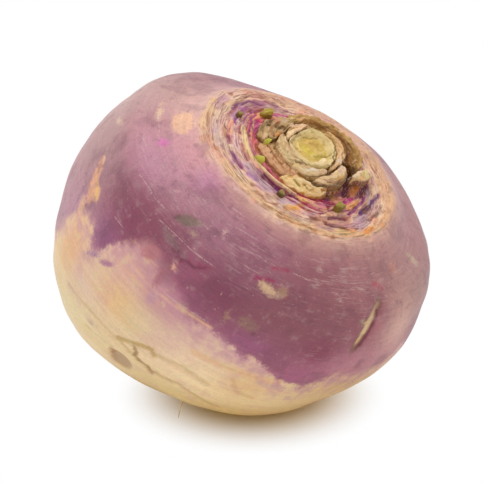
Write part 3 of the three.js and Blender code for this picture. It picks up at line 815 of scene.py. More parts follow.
# Small crown spots: bearing, distance, half width, colour, strength, height.
CROWN_SPOTS = [
    (180.5, 22.4, 0.5, "94604e", 0.8, -0.2), (239, 21.0, 0.6, "c08a68", 0.6, -0.1),
    (271, 18.1, 0.5, "8e6a3c", 0.7, -0.2), (286, 21.0, 0.6, "b07a60", 0.6, -0.1),
    (317, 17.4, 0.5, "7c4c3a", 0.75, -0.2), (320.5, 17.0, 0.45, "7c4c3a", 0.75, -0.2),
    (325.5, 17.3, 0.45, "8a5242", 0.8, -0.2), (316, 20.7, 0.5, "b48464", 0.6, -0.1),
    (328, 20.8, 0.4, "c08c70", 0.6, 0.0), (313, 15.7, 0.4, "c08a58", 0.6, 0.0),
    (331, 15.4, 0.4, "b87e4c", 0.6, 0.0), (298, 18.4, 0.4, "b98858", 0.6, -0.1),
    (341, 10.1, 0.9, "5f2f16", 0.9, -0.3), (352, 10.6, 0.8, "9c6a30", 0.6, 0.0),
    (120, 17.4, 0.6, "9c7a3c", 0.6, 0.1), (150, 18.4, 0.6, "7e5062", 0.6, -0.1),
    (143, 19.4, 0.5, "a4705c", 0.5, 0.0), (52, 18.5, 0.6, "b08066", 0.4, 0.0),
    (188, 13.0, 0.5, "d8506c", 0.6, 0.0), (268, 16.0, 0.5, "b898b0", 0.6, 0.0),
    (372, 20.9, 0.6, "e8a880", 0.7, 0.1),
]


def ring_stroke(bearing, distance, path, half_width):
    """How strongly a stroke covers a point: full along its path, fading at its edges and rounded ends."""
    middle = (path[0][0] + path[-1][0]) / 2
    b = middle + turned(bearing - middle)
    knots = sorted(path)
    line = np.interp(b, [k[0] for k in knots], [k[1] for k in knots])
    start, end = knots[0][0], knots[-1][0]
    past = np.maximum(np.maximum(start - b, b - end), 0.0) * np.radians(1.0) * distance
    gap = np.hypot(distance - line, past)
    return 1.0 - ease(gap, half_width * 0.65, half_width * 1.55)


def lay_strokes(tone, bearing, distance, strokes, where=1.0):
    """Lays strokes on a tone by bearing and distance. Gives back the tone and how much they raise it."""
    rise = np.zeros(bearing.shape)
    for path, half_width, code, strength, height in strokes:
        cover = ring_stroke(bearing, distance, path, half_width) * where
        tone = laid_over(tone, cover * strength, code)
        rise = rise + height * cover
    return tone, rise


def root_grid():
    """Polar angles close together over the crown and wider below, by even bearings."""
    polar = np.concatenate([
        np.linspace(1.2, 12.5, 8), np.arange(13.0, 46.0, 0.46),
        np.arange(46.0, 124.0, 0.88), np.linspace(125.0, 179.0, 22),
    ])
    bearing = np.arange(ROOT_ROUND) * (360.0 / ROOT_ROUND) - 180.0
    return np.meshgrid(polar, bearing, indexing="ij")


class Ground:
    """Where the points of the root lie before its relief, and the same places with a gentle waver."""

    def __init__(self):
        self.polar, self.bearing = root_grid()
        self.way = outward(self.polar, self.bearing)
        self.radius = skin_radius(self.polar, self.bearing)
        self.on_ball = (self.way * BALL_RADIUS).reshape(-1, 3)
        self.smooth = self.way * self.radius[..., None]
        self.distance = np.hypot(self.smooth[..., 0], self.smooth[..., 1])
        self.on_crown = self.polar < CROWN_END
        self.shift = lumps(self.smooth, 5.0, 11) * 0.35 + lumps(self.smooth, 2.0, 12) * 0.22
        sway = lumps(self.smooth, 5.0, 13) * 0.35 + lumps(self.smooth, 2.0, 14) * 0.22
        self.wavy_distance = self.distance + self.shift * 0.45
        self.wavy_bearing = self.bearing + np.degrees(sway * 0.8 / np.maximum(self.distance, 3.0))
        self.ragged_distance = self.distance + self.shift * 2.0
        # Edge of the scarred crown, in mm from the axis.
        self.rim = 22.0 + 2.0 * self.beside(-170, 40) - 1.4 * self.beside(50, 60)

    def beside(self, bearing, spread):
        """A bell round one bearing."""
        return bell(turned(self.bearing - bearing), spread)

    def within(self, distance, low, high):
        """On the crown only: 1 nearer than low, 0 beyond high."""
        return (1.0 - ease(distance, low, high)) * self.on_crown


def washed(tone, washes, g):
    """Colours with each wash laid over them, as a bell round times a bell down."""
    for b, p, spread_round, spread_down, code, strength in washes:
        cover = strength * g.beside(b, spread_round) * bell(g.polar - p, spread_down)
        tone = laid_over(tone, cover, code)
    return tone


def paint_crown(g, skin):
    """The crown: pale scar ground, a dark floor of painted shade in the middle, strokes and spots. Gives back
    paint and rise.
    """
    ground = g.within(g.ragged_distance, g.rim - 1.6, g.rim + 0.9)
    skin = laid_over(skin, ground * 0.95, "ffdcc4")
    # Rosy clouds, then lilac ones, then a warm band round the middle.
    skin = laid_over(skin, ground * ease(lumps(g.smooth, 4.0, 15), 0.1, 1.3) * 0.7, "f0ab9c")
    skin = laid_over(skin, ground * ease(-lumps(g.smooth, 5.0, 16), 0.1, 1.4) * 0.7, "dcb6c2")
    skin = laid_over(skin, g.within(g.wavy_distance, 13.0, 15.0) * 0.7, "ea9e84")
    # The middle, between and under the leaf bases, is painted shade of the gaps there, darker at the right;
    # then a brown hollow behind it.
    middle = g.within(g.wavy_distance, 9.6, 11.4)
    skin = laid_over(skin, middle, "a27a50")
    skin = laid_over(skin, middle * g.beside(20, 70), "4e2e16")
    right_back = g.beside(75, 48) * g.within(g.wavy_distance, 15.5, 18.0)
    skin = laid_over(skin, right_back * 0.75, "7d5428")
    spots = [([(b - 0.5, d), (b + 0.5, d)], *rest) for b, d, *rest in CROWN_SPOTS]
    skin, lift = lay_strokes(skin, g.wavy_bearing, g.wavy_distance, CROWN_STROKES + spots, g.on_crown)
    # The seat of the heart stands up, and the marks of the leaf bases run on over it.
    from_heart = np.hypot(g.smooth[..., 0] - HEART_CENTRE[0], g.smooth[..., 1] - HEART_CENTRE[1])
    seat = 1.6 * g.within(from_heart, 7.4, 9.0)
    near_heart = g.within(g.distance, 12.0, 14.0)
    skin, cut_lift = lay_strokes(skin, *about_heart(g.smooth), CUT_STROKES, near_heart)
    return skin, lift - 0.5 * right_back + seat + cut_lift * 0.6


def edge_of_purple(g):
    """Distance in mm from the edge of the purple, positive on the purple side, and how soft that edge is."""
    edge_polar = smooth_curve(BORDER, g.bearing.ravel()).reshape(g.bearing.shape)
    blur = 0.7 + 2.2 * g.beside(-88, 11) + 2.2 * g.beside(-6, 13) + 2.0 * g.beside(-134, 12)
    blur = blur + 1.2 * ease(np.abs(turned(g.bearing - 110)), 95, 60)
    return (edge_polar - g.polar) * ARC_PER_DEGREE, blur


def ragged_patches(g):
    """How far in mm a point is inside its strongest patch, with that patch's colour, and the rise of all."""
    patch = np.full(g.polar.shape, -5.0)
    tone = np.zeros(g.polar.shape + (3,))
    rise = np.zeros(g.polar.shape)
    for b, p, half_round, half_down, slant, code, height in PATCHES:
        across = turned(g.bearing - b) * np.sin(np.radians(g.polar))
        down = g.polar - p - slant * across
        reach = np.hypot(across / half_round, down / half_down)
        inside = (1.0 - reach) * min(half_round, half_down) * ARC_PER_DEGREE
        stronger = inside > patch
        patch = np.where(stronger, inside, patch)
        tone = np.where(stronger[..., None], paint(code), tone)
        rise = rise + height * (1.0 - ease(reach, 0.6, 1.25))
    return patch, tone, rise


def lay_marks(g, skin, flesh):
    """Lays the small marks on the purple and the cream. Gives back both and how much they are raised."""
    rise = np.zeros(g.polar.shape)
    for path, half_width, code, strength, height in MARKS:
        gap = from_path(g.on_ball, path)[1].reshape(rise.shape)
        cover = (1.0 - ease(gap, half_width * 0.5, half_width * 1.4)) * strength
        skin, flesh = laid_over(skin, cover, code), laid_over(flesh, cover, code)
        rise = rise + height * (1.0 - ease(gap, half_width * 0.3, half_width * 1.8))
    return skin, flesh, rise


def lay_scratches(g):
    """Signed distance in mm to the nearest scratch, and 1 beside it, fading past its ends."""
    scratch, reach, nearest = (np.full(g.polar.size, start) for start in (9.0, 0.0, FAR))
    for path in SCRATCHES:
        side, gap = from_path(g.on_ball, path)
        nearer = gap < nearest
        scratch[nearer] = side[nearer]
        reach[nearer] = (1.0 - ease(gap, 0.2, 0.7))[nearer]
        nearest = np.minimum(nearest, gap)
    return scratch.reshape(g.polar.shape), reach.reshape(g.polar.shape)


def texture(g, crown, cork):
    """Rise of the skin's own relief: cork knobs, ring-wise fibres, broad unevenness, wrinkles lower down."""
    x, y = g.smooth[..., 0], g.smooth[..., 1]
    rise = cork * (np.abs(lumps(g.smooth, 2.2, 21)) - 0.5) * 0.28
    off_axis = np.maximum(g.distance, 1e-3)
    ringwise = np.stack([x / off_axis * 14.0, y / off_axis * 14.0, g.distance * 5.0], -1)
    fibres = lumps(ringwise, 6.0, 22) * 0.14 - np.abs(lumps(ringwise, 4.0, 27)) * 0.22 + 0.1
    rise = rise + crown * fibres + lumps(g.smooth, 16.0, 23) * 0.1 + lumps(g.smooth, 6.0, 24) * 0.04
    wrinkles = np.stack([x * 0.25, y * 0.25, g.polar * ARC_PER_DEGREE], -1)
    rise = rise + ease(g.polar, 92, 108) * lumps(wrinkles, 5.0, 25) * 0.12
    folds = np.stack([x, y, np.zeros_like(x)], -1)
    return rise + ease(g.polar, 160, 172) * lumps(folds, 3.0, 26) * 0.2


def make_root():
    """The swollen root: radius by polar and bearing plus every rise, with paint held at each point."""
    g = Ground()
    skin = washed(run_colour(PURPLE_RUN, g.polar + g.shift * 1.5), PURPLE_WASHES, g)
    flesh = washed(run_colour(CREAM_RUN, g.polar + g.shift * 3.0), CREAM_WASHES, g)
    skin, crown_rise = paint_crown(g, skin)
    border, blur = edge_of_purple(g)
    patch, patch_tone, patch_rise = ragged_patches(g)
    skin, flesh, mark_rise = lay_marks(g, skin, flesh)
    scratch, scratch_reach = lay_scratches(g)
    cork = bell(g.distance - 20.3, 1.5) * g.on_crown * (0.35 + 0.65 * g.beside(-45, 50))
    crown = g.within(g.ragged_distance, g.rim - 1.8, g.rim + 0.6)
    rise = crown_rise + patch_rise + mark_rise + texture(g, crown, cork)

    # Flat foot: nothing goes below the surface that the root rests on.
    leaned = g.way * (g.radius - SKIN_INSET + rise)[..., None] @ TURN.T
    leaned[..., 2] = np.maximum(leaned[..., 2], -REST_DEPTH)
    points = leaned @ TURN

    lined = bell(g.polar - 52, 8) * (0.3 + 0.7 * np.maximum(g.beside(-78, 26), g.beside(-28, 24)))
    round_root = g.way[..., :2] / np.sin(np.radians(g.polar))[..., None] * 3.2
    rings = np.concatenate([round_root, (g.polar * ARC_PER_DEGREE * 1.5)[..., None]], -1)
    fields = {
        "grown": points, "rings": rings, "crown": crown, "cork": cork, "lined": lined,
        "skin_tone": opaque(richer(skin, 1.22 + 0.16 * crown[..., None])),
        "flesh_tone": opaque(richer(flesh, 1.12)),
        "border": border, "border_blur": blur, "patch": patch, "patch_tone": opaque(patch_tone),
        "scratch": scratch, "scratch_reach": scratch_reach,
    }
    kept(surface("turnip_root", points, fields), Skin().whole(), "root")


# ------------------------------------------------------------ the cut heart and the leaf bases

HEART_RIM = 31.0          # level of the cut rim
HEART_FLOOR = 29.95       # level of the sunk middle
HEART_FOOT = 27.0         # level of its foot, under the skin
# Edge of the cut heart: bearing about its centre, radius.
HEART_EDGE = [
    (0, 5.55), (20, 5.45), (45, 5.6), (62, 5.95), (80, 6.35), (100, 6.55), (120, 6.45), (135, 6.1),
    (150, 5.3), (165, 4.75), (180, 4.55), (200, 4.65), (220, 5.1), (240, 5.6), (265, 5.9), (290, 6.0),
    (320, 5.85), (340, 5.7), (360, 5.55),
]
# Marks on the cut stem and leaf bases: path of (bearing, distance) about the heart, half width, colour,
# strength, height. Places are given at the level CUT_LEVEL, and run on up and down the walls along CUT_SLANT.
CUT_LEVEL = 30.2
CUT_SLANT = np.array([0.45, -1.284])
# Its darkest lines, laid along the joins between the pieces, are painted shade in those creases.
CUT_STROKES = [
    # golden middle of the heart
    ([(60, 1.0), (150, 1.6), (200, 1.6)], 0.7, "e2b85c", 0.5, 0.0),
    ([(235, 1.3), (262, 1.5), (290, 1.4)], 0.9, "e2c844", 0.8, -0.05),
    ([(90, 2.8), (110, 2.6), (124, 2.2)], 0.8, "bb8f38", 0.6, -0.05),
    ([(130, 2.9), (150, 2.4), (172, 1.9)], 0.4, "f4c670", 0.7, 0.1),
    ([(214, 3.1), (232, 3.3), (256, 3.2)], 0.34, "fbd88e", 0.85, 0.15),
    ([(262, 2.6), (285, 2.2), (300, 2.4)], 0.3, "cfae3c", 0.5, 0.0),
    ([(-24, 2.2), (-4, 2.3), (14, 2.4), (28, 2.8)], 0.4, "ab9720", 0.8, -0.1),
    ([(28, 3.2), (42, 4.1), (54, 4.8), (66, 5.8)], 0.3, "97822a", 0.7, -0.15),
    ([(40, 2.9), (60, 3.0), (84, 3.2)], 0.5, "dcc066", 0.6, 0.05),
    ([(-14, 3.7), (2, 3.6), (13, 3.6)], 0.42, "ffe8b4", 0.95, 0.22),
    ([(318, 4.3), (335, 4.1), (350, 3.9)], 0.3, "f4d5a4", 0.8, 0.12),
    ([(304, 5.5), (325, 5.4), (345, 5.2), (362, 5.0)], 0.36, "b09852", 0.7, -0.05),
    ([(300, 4.7), (325, 4.8), (350, 4.6), (370, 4.5)], 0.22, "d9b57e", 0.6, 0.08),
    ([(116, 4.8), (125, 4.2), (140, 3.7), (160, 3.6)], 0.13, "93702e", 0.75, -0.15),
    ([(165, 4.2), (190, 4.2), (212, 4.4), (228, 4.6)], 0.3, "a98645", 0.75, -0.15),
    ([(226, 4.7), (238, 4.2), (250, 3.95)], 0.15, "ac8340", 0.7, -0.12),
    ([(230, 5.2), (250, 4.9), (272, 4.7)], 0.3, "e4c08a", 0.6, 0.05),
    ([(240, 5.7), (262, 5.4), (276, 5.3)], 0.3, "d3aa86", 0.6, 0.0),
    ([(72, 5.4), (95, 6.4), (118, 6.4), (130, 5.6)], 1.0, "efd594", 0.7, 0.0),
    ([(104, 5.2), (119, 5.3)], 0.4, "fad48b", 0.6, 0.05),
    ([(90, 4.6), (95, 5.6)], 0.3, "cf9c52", 0.6, -0.05),
    ([(92, 7.0), (101, 7.3)], 0.45, "dfae6c", 0.5, 0.0),
    ([(128, 6.0), (131, 7.0), (133, 7.8)], 0.3, "b9983f", 0.7, -0.05),
    ([(84, 8.2), (96, 8.7), (112, 8.9), (124, 8.5)], 0.35, "94701e", 0.8, -0.2),
    ([(4, 5.5), (20, 5.4), (46, 5.4)], 0.17, "5f3d16", 0.95, -0.35),
    ([(46, 5.4), (58, 5.9), (70, 6.8), (82, 7.7)], 0.17, "86622e", 0.8, -0.25),
    # inner right
    ([(18, 6.0), (32, 6.1)], 0.28, "ebb88c", 0.8, 0.1),
    ([(36, 6.3), (44, 6.9)], 0.42, "e6dacb", 0.85, 0.1),
    ([(50, 6.7), (60, 7.3), (70, 8.4), (78, 9.3)], 0.34, "f3cda0", 0.8, 0.15),
    ([(50, 7.5), (60, 7.9), (66, 8.6)], 0.12, "a47c5a", 0.7, -0.12),
    ([(47, 8.0), (57, 8.6), (64, 9.2)], 0.34, "ebbb9c", 0.8, 0.1),
    ([(78, 8.6), (86, 9.6)], 0.3, "c9985e", 0.6, -0.1),
    ([(92, 9.4), (102, 9.8)], 0.4, "dcae62", 0.6, 0.0),
    ([(-12, 7.0), (5, 6.6), (20, 6.6), (30, 7.0), (38, 7.9), (46, 8.6)], 0.19, "5e3a20", 0.95, -0.4),
    # the whitish base at the right
    ([(-26, 8.2), (-10, 8.0), (5, 7.9), (13, 7.7)], 0.5, "f4d7aa", 0.85, 0.18),
    ([(12, 7.5), (20, 7.7), (28, 7.6)], 0.42, "f0d0bf", 0.85, 0.12),
    ([(28, 7.3), (34, 7.5)], 0.26, "dcdccb", 0.85, 0.0),
    ([(-8, 8.8), (1, 8.9), (8, 8.7)], 0.3, "c49c4c", 0.8, 0.0),
    ([(-36, 7.5), (-24, 7.4), (-14, 7.4)], 0.22, "a67e60", 0.7, -0.12),
    ([(-30, 8.8), (-12, 8.7), (0, 8.4)], 0.14, "a87c58", 0.6, -0.1),
    ([(-30, 9.3), (-10, 9.5), (6, 9.3), (20, 9.1)], 0.32, "8a5a3c", 0.85, -0.1),
    ([(-34, 9.6), (-30, 9.3)], 0.28, "f2dcc4", 0.85, 0.1),
    ([(20, 8.7), (36, 8.9)], 0.3, "b18c5a", 0.7, 0.0),
    ([(28, 9.3), (36, 9.2)], 0.2, "8c8046", 0.7, 0.0),
    # dark gaps: painted shadow under and between the leaf bases
    ([(300, 10.3), (313, 11.2), (324, 10.8), (340, 10.4), (355, 9.9), (370, 9.8), (384, 9.9)],
     0.5, "341a0a", 0.95, -0.3),
    ([(312, 11.8), (318, 11.0)], 0.5, "2c1a08", 0.95, -0.2),
    ([(18, 9.9), (30, 10.2), (41, 10.5)], 0.5, "38140e", 0.95, -0.3),
    ([(48, 8.9), (55, 9.3), (62, 9.9), (70, 10.7), (78, 11.6)], 0.42, "582406", 0.95, -0.3),
    ([(294, 10.3), (302, 9.9), (309, 9.2)], 0.36, "57350f", 0.9, -0.35),
    ([(303, 9.5), (313, 8.7), (323, 8.0), (335, 7.4), (348, 7.0)], 0.19, "6e4826", 0.95, -0.4),
    # inner front
    ([(228, 6.9), (240, 7.2), (252, 7.4)], 0.3, "bf9a62", 0.5, 0.0),
    ([(252, 7.6), (266, 7.7), (278, 7.9)], 0.5, "c4b387", 0.7, 0.05),
    ([(262, 6.6), (272, 6.3)], 0.25, "b59a72", 0.6, -0.05),
    ([(281, 7.1), (286, 6.6), (290, 6.4)], 0.48, "665010", 0.95, -0.3),
    ([(285, 6.0), (287, 5.7)], 0.28, "8a6a26", 0.85, -0.1),
    ([(293, 6.3), (297, 6.6)], 0.3, "c39c84", 0.6, 0.0),
    ([(302, 7.8), (309, 7.0), (317, 6.5)], 0.42, "f0e4d0", 0.9, 0.15),
    ([(296, 8.2), (302, 7.6)], 0.3, "dccdb0", 0.7, 0.1),
    ([(284, 8.5), (291, 8.2)], 0.3, "ecc48c", 0.7, 0.1),
    ([(318, 7.1), (330, 6.8), (345, 6.4)], 0.3, "ddbaa4", 0.7, 0.05),
    ([(240, 6.4), (250, 6.8)], 0.12, "a07c50", 0.6, -0.1),
    ([(256, 6.9), (262, 7.4)], 0.12, "9a845c", 0.6, -0.1),
    ([(270, 8.4), (276, 7.6)], 0.14, "9c7f58", 0.6, -0.12),
    ([(238, 8.4), (245, 8.5)], 0.36, "74502e", 0.9, -0.25),
    ([(248, 9.4), (252, 10.3), (255, 11.4)], 0.26, "7e5810", 0.85, -0.2),
    # brown base below the heart
    ([(228, 10.1), (244, 10.15), (262, 10.1), (288, 9.9)], 0.13, "6a4424", 0.85, -0.45),
    ([(232, 9.6), (246, 9.4), (262, 9.7)], 0.3, "7c5632", 0.8, -0.2),
    ([(238, 10.9), (256, 10.9)], 0.26, "8a5c34", 0.8, -0.2),
    ([(244, 10.2), (258, 10.2)], 0.22, "f2d2a4", 0.8, 0.15),
    ([(226, 10.6), (233, 11.4)], 0.55, "efcfa8", 0.8, 0.1),
    ([(256, 9.0), (262, 9.8)], 0.3, "d9a87e", 0.7, 0.1),
    ([(261, 11.0), (270, 11.2)], 0.42, "94572e", 0.85, -0.2),
    ([(273, 10.4), (277, 11.6)], 0.28, "eab08a", 0.8, 0.15),
    ([(266, 9.6), (271, 10.1)], 0.3, "dca27c", 0.6, 0.1),
    ([(281, 9.6), (285, 11.6)], 0.26, "a85e30", 0.85, -0.15),
    ([(275, 9.4), (279, 8.9)], 0.26, "86522f", 0.8, -0.15),
    ([(289, 9.4), (293, 10.8)], 0.3, "e8b47e", 0.8, 0.1),
    ([(258, 10.4), (264, 12.2)], 0.2, "a46a44", 0.7, -0.1),
    # the corky crest
    ([(296, 12.2), (304, 11.5), (312, 12.2)], 0.5, "ffe6bc", 0.9, 0.2),
    ([(314, 12.4), (318, 13.0)], 0.4, "f6ddb4", 0.8, 0.1),
    ([(293, 13.1), (298, 13.6)], 0.34, "826818", 0.9, -0.2),
    ([(302, 12.7), (305, 13.3)], 0.28, "8e7430", 0.85, -0.15),
    ([(308, 13.6), (311, 13.0)], 0.24, "9a7e38", 0.8, -0.1),
    ([(286, 13.0), (290, 12.2)], 0.3, "e2a468", 0.7, 0.0),
    ([(322, 12.3), (328, 11.7), (334, 11.2)], 0.34, "a25c2c", 0.9, 0.0),
    ([(330, 12.6), (333, 11.9)], 0.26, "e8b894", 0.8, 0.1),
    ([(337, 12.0), (346, 11.6)], 0.42, "a2641e", 0.85, 0.05),
    ([(322, 14.0), (326, 13.0)], 0.5, "501e06", 0.95, -0.3),
    ([(346, 12.9), (356, 12.2), (366, 11.0)], 0.6, "480f30", 0.95, -0.4),
    # left side
    ([(176, 5.4), (188, 5.3), (200, 5.3), (214, 5.5)], 0.46, "ffdfb4", 0.95, 0.22),
    ([(138, 7.3), (150, 6.6), (160, 6.0), (170, 5.6)], 0.5, "f5caa8", 0.85, 0.12),
    ([(132, 8.0), (139, 7.0), (147, 6.1), (155, 5.4), (164, 4.9), (174, 4.7)], 0.17, "7e5828", 0.85, -0.3),
    ([(172, 6.5), (195, 6.3), (212, 6.4)], 0.4, "a5844c", 0.8, -0.1),
    ([(197, 6.9), (208, 6.8), (216, 6.9)], 0.2, "d6b092", 0.7, 0.1),
    ([(160, 7.2), (167, 7.3), (173, 7.1)], 0.4, "eecab4", 0.85, 0.12),
    ([(174, 7.2), (182, 7.0), (188, 7.1)], 0.22, "7c6236", 0.85, -0.2),
    ([(149, 9.0), (155, 8.3), (162, 7.6)], 0.24, "513a18", 0.95, -0.35),
    ([(152, 8.9), (161, 8.5), (168, 8.5)], 0.3, "a58f50", 0.7, 0.0),
    ([(170, 8.6), (178, 8.9)], 0.45, "cfb8a0", 0.7, 0.1),
    ([(156, 9.6), (163, 9.2)], 0.4, "edd0a0", 0.8, 0.1),
    ([(189, 7.4), (196, 7.9), (199, 8.3)], 0.5, "5e402c", 0.95, -0.4),
    ([(194, 7.0), (199, 6.9)], 0.2, "4e3222", 0.9, -0.2),
    ([(211, 7.7), (221, 8.0)], 0.42, "d2844a", 0.85, 0.1),
    ([(222, 7.4), (224, 8.7)], 0.3, "96661a", 0.85, -0.1),
    ([(183, 9.6), (190, 9.3)], 0.34, "d68576", 0.85, 0.15),
    ([(186, 8.9), (200, 8.7)], 0.3, "70432a", 0.85, -0.25),
    ([(202, 8.3), (212, 8.2)], 0.28, "8e7a4c", 0.7, 0.0),
    ([(198, 9.6), (212, 9.5), (221, 9.0)], 0.45, "926246", 0.8, 0.05),
    ([(183, 10.4), (195, 10.3), (205, 10.1)], 0.34, "5f4326", 0.95, -0.35),
    ([(204, 10.9), (214, 11.2), (222, 11.5)], 0.42, "66523a", 0.85, 0.0),
    ([(203, 10.4), (209, 10.8)], 0.28, "522f1a", 0.9, -0.2),
    ([(188, 11.0), (200, 11.0)], 0.3, "8e7f68", 0.6, 0.05),
    # the tall brown base at the back; its darkest strokes are partly painted shade on its inner side
    ([(76, 12.1), (84, 11.6), (90, 11.2)], 0.5, "671e02", 0.85, -0.15),
    ([(93, 11.2), (97, 12.4)], 0.34, "553206", 0.9, -0.15),
    ([(104, 12.6), (109, 11.3)], 0.45, "562704", 0.95, -0.2),
    ([(100, 10.8), (102, 12.4)], 0.26, "a5733f", 0.7, 0.12),
    ([(62, 12.2), (72, 12.5), (84, 12.7)], 0.42, "805606", 0.8, 0.0),
    ([(84, 13.4), (92, 13.7)], 0.4, "c8a956", 0.8, 0.1),
    ([(95, 13.0), (97, 13.8)], 0.3, "513603", 0.85, -0.15),
    ([(108, 13.6), (120, 13.5)], 0.6, "f2cfa8", 0.8, 0.1),
    ([(126, 13.3), (134, 12.6)], 0.6, "bd6f26", 0.9, 0.0),
    ([(111, 10.5), (120, 10.2), (127, 9.6)], 0.6, "75450f", 0.9, -0.15),
    ([(124, 11.8), (131, 11.0)], 0.4, "c9956a", 0.7, 0.1),
    ([(135, 11.0), (142, 9.9), (149, 9.3)], 0.36, "efc08c", 0.8, 0.15),
    ([(130, 9.8), (138, 9.3), (144, 8.6)], 0.36, "7f4e24", 0.9, -0.2),
    ([(49, 9.9), (55, 11.1)], 0.26, "e4c09c", 0.85, 0.15),
    ([(36, 9.3), (44, 9.8), (47, 11.2)], 0.36, "9a7c42", 0.7, 0.0),
    ([(59, 13.3), (63, 12.9)], 0.42, "684606", 0.85, -0.1),
    ([(41, 13.4), (50, 12.6)], 0.55, "dcc294", 0.8, 0.1),
    ([(60, 11.2), (66, 12.0)], 0.4, "a98a5e", 0.6, 0.05),
    # the cream stub at the right
    ([(35, 13.6), (43, 13.0), (50, 14.4)], 0.6, "e2d6a0", 0.85, 0.15),
    ([(23, 10.6), (31, 11.2), (41, 12.0)], 0.4, "fbe6c8", 0.9, 0.2),
    ([(26, 12.2), (32, 12.8)], 0.3, "e0b07c", 0.7, 0.0),
    ([(20, 13.6), (27, 13.9), (33, 14.6)], 0.4, "3a0d16", 0.95, -0.3),
]


def about_heart(points):
    """Bearing and distance about the heart of points slid along the slant to the cut level, a little wavy."""
    flat = points[..., :2] - HEART_CENTRE - CUT_SLANT * (points[..., 2:] - CUT_LEVEL)
    for size, seed, amount in ((1.7, 41, 0.13), (0.7, 43, 0.07)):
        flat = flat + np.stack([lumps(points, size, seed), lumps(points, size, seed + 1)], -1) * amount
    return np.degrees(np.arctan2(flat[..., 1], flat[..., 0])), np.hypot(flat[..., 0], flat[..., 1])


def make_heart():
    """The cut stem: a shallow cup whose rim slopes towards the front, then a wall straight down."""
    across = np.linspace(0.02, 1.0, HEART_ACROSS)
    part, b = np.meshgrid(across, np.arange(HEART_ROUND) * 360.0 / HEART_ROUND, indexing="ij")
    edge = smooth_curve(HEART_EDGE, b.ravel()).reshape(b.shape)
    edge = edge + 0.05 * np.sin(np.radians(b * 7)) + 0.04 * np.sin(np.radians(b * 13 + 50))
    x = HEART_CENTRE[0] + part * edge * np.cos(np.radians(b))
    y = HEART_CENTRE[1] + part * edge * np.sin(np.radians(b))
    to_back = np.cos(np.radians(b - 100))
    rim = HEART_RIM + 0.35 * to_back
    floor = HEART_FLOOR + 0.1 * to_back * part
    z = floor + (rim - floor) * ease(part, 0.58 + 0.12 * to_back, 0.95) - 0.3 * ease(part, 0.95, 1.0)
    flat = np.stack([x, y, 0 * x], -1)
    z = z + lumps(flat, 2.6, 31) * 0.08 + lumps(flat, 1.0, 32) * 0.06
    top = np.stack([x, y, z], -1)
    tone = laid_over(plain_coat(top.shape, "d9b552"), ease(part, 0.6, 0.85), "e8cc8c")
    tone, rise = lay_strokes(tone, *about_heart(top), CUT_STROKES)
    top[..., 2] += rise
    drop = np.linspace(0.0, 1.0, HEART_DOWN + 1)[1:, None]
    wall = top[-1] + drop[..., None] * np.stack([0 * x[-1], 0 * x[-1], HEART_FOOT - top[-1, :, 2]], -1)
    # The outer wall darkens lower down: painted shade in the gap round the heart.
    outer = laid_over(plain_coat(wall.shape, "cfa877"), ease(drop + 0 * wall[..., 0], 0.12, 0.5), "a07c4c")
    points = np.concatenate([top, wall], 0)
    fields = {
        "grown": points, "grain": points * np.array([0.8, 0.8, 2.5]),
        "tone": opaque(np.concatenate([tone, outer], 0)),
    }
    finish = stalk_finish("cut_stem", "a07a38", "f0d8a0", 0.4, 0.42)
    kept(surface("turnip_heart", points, fields), finish, "heart_stub")


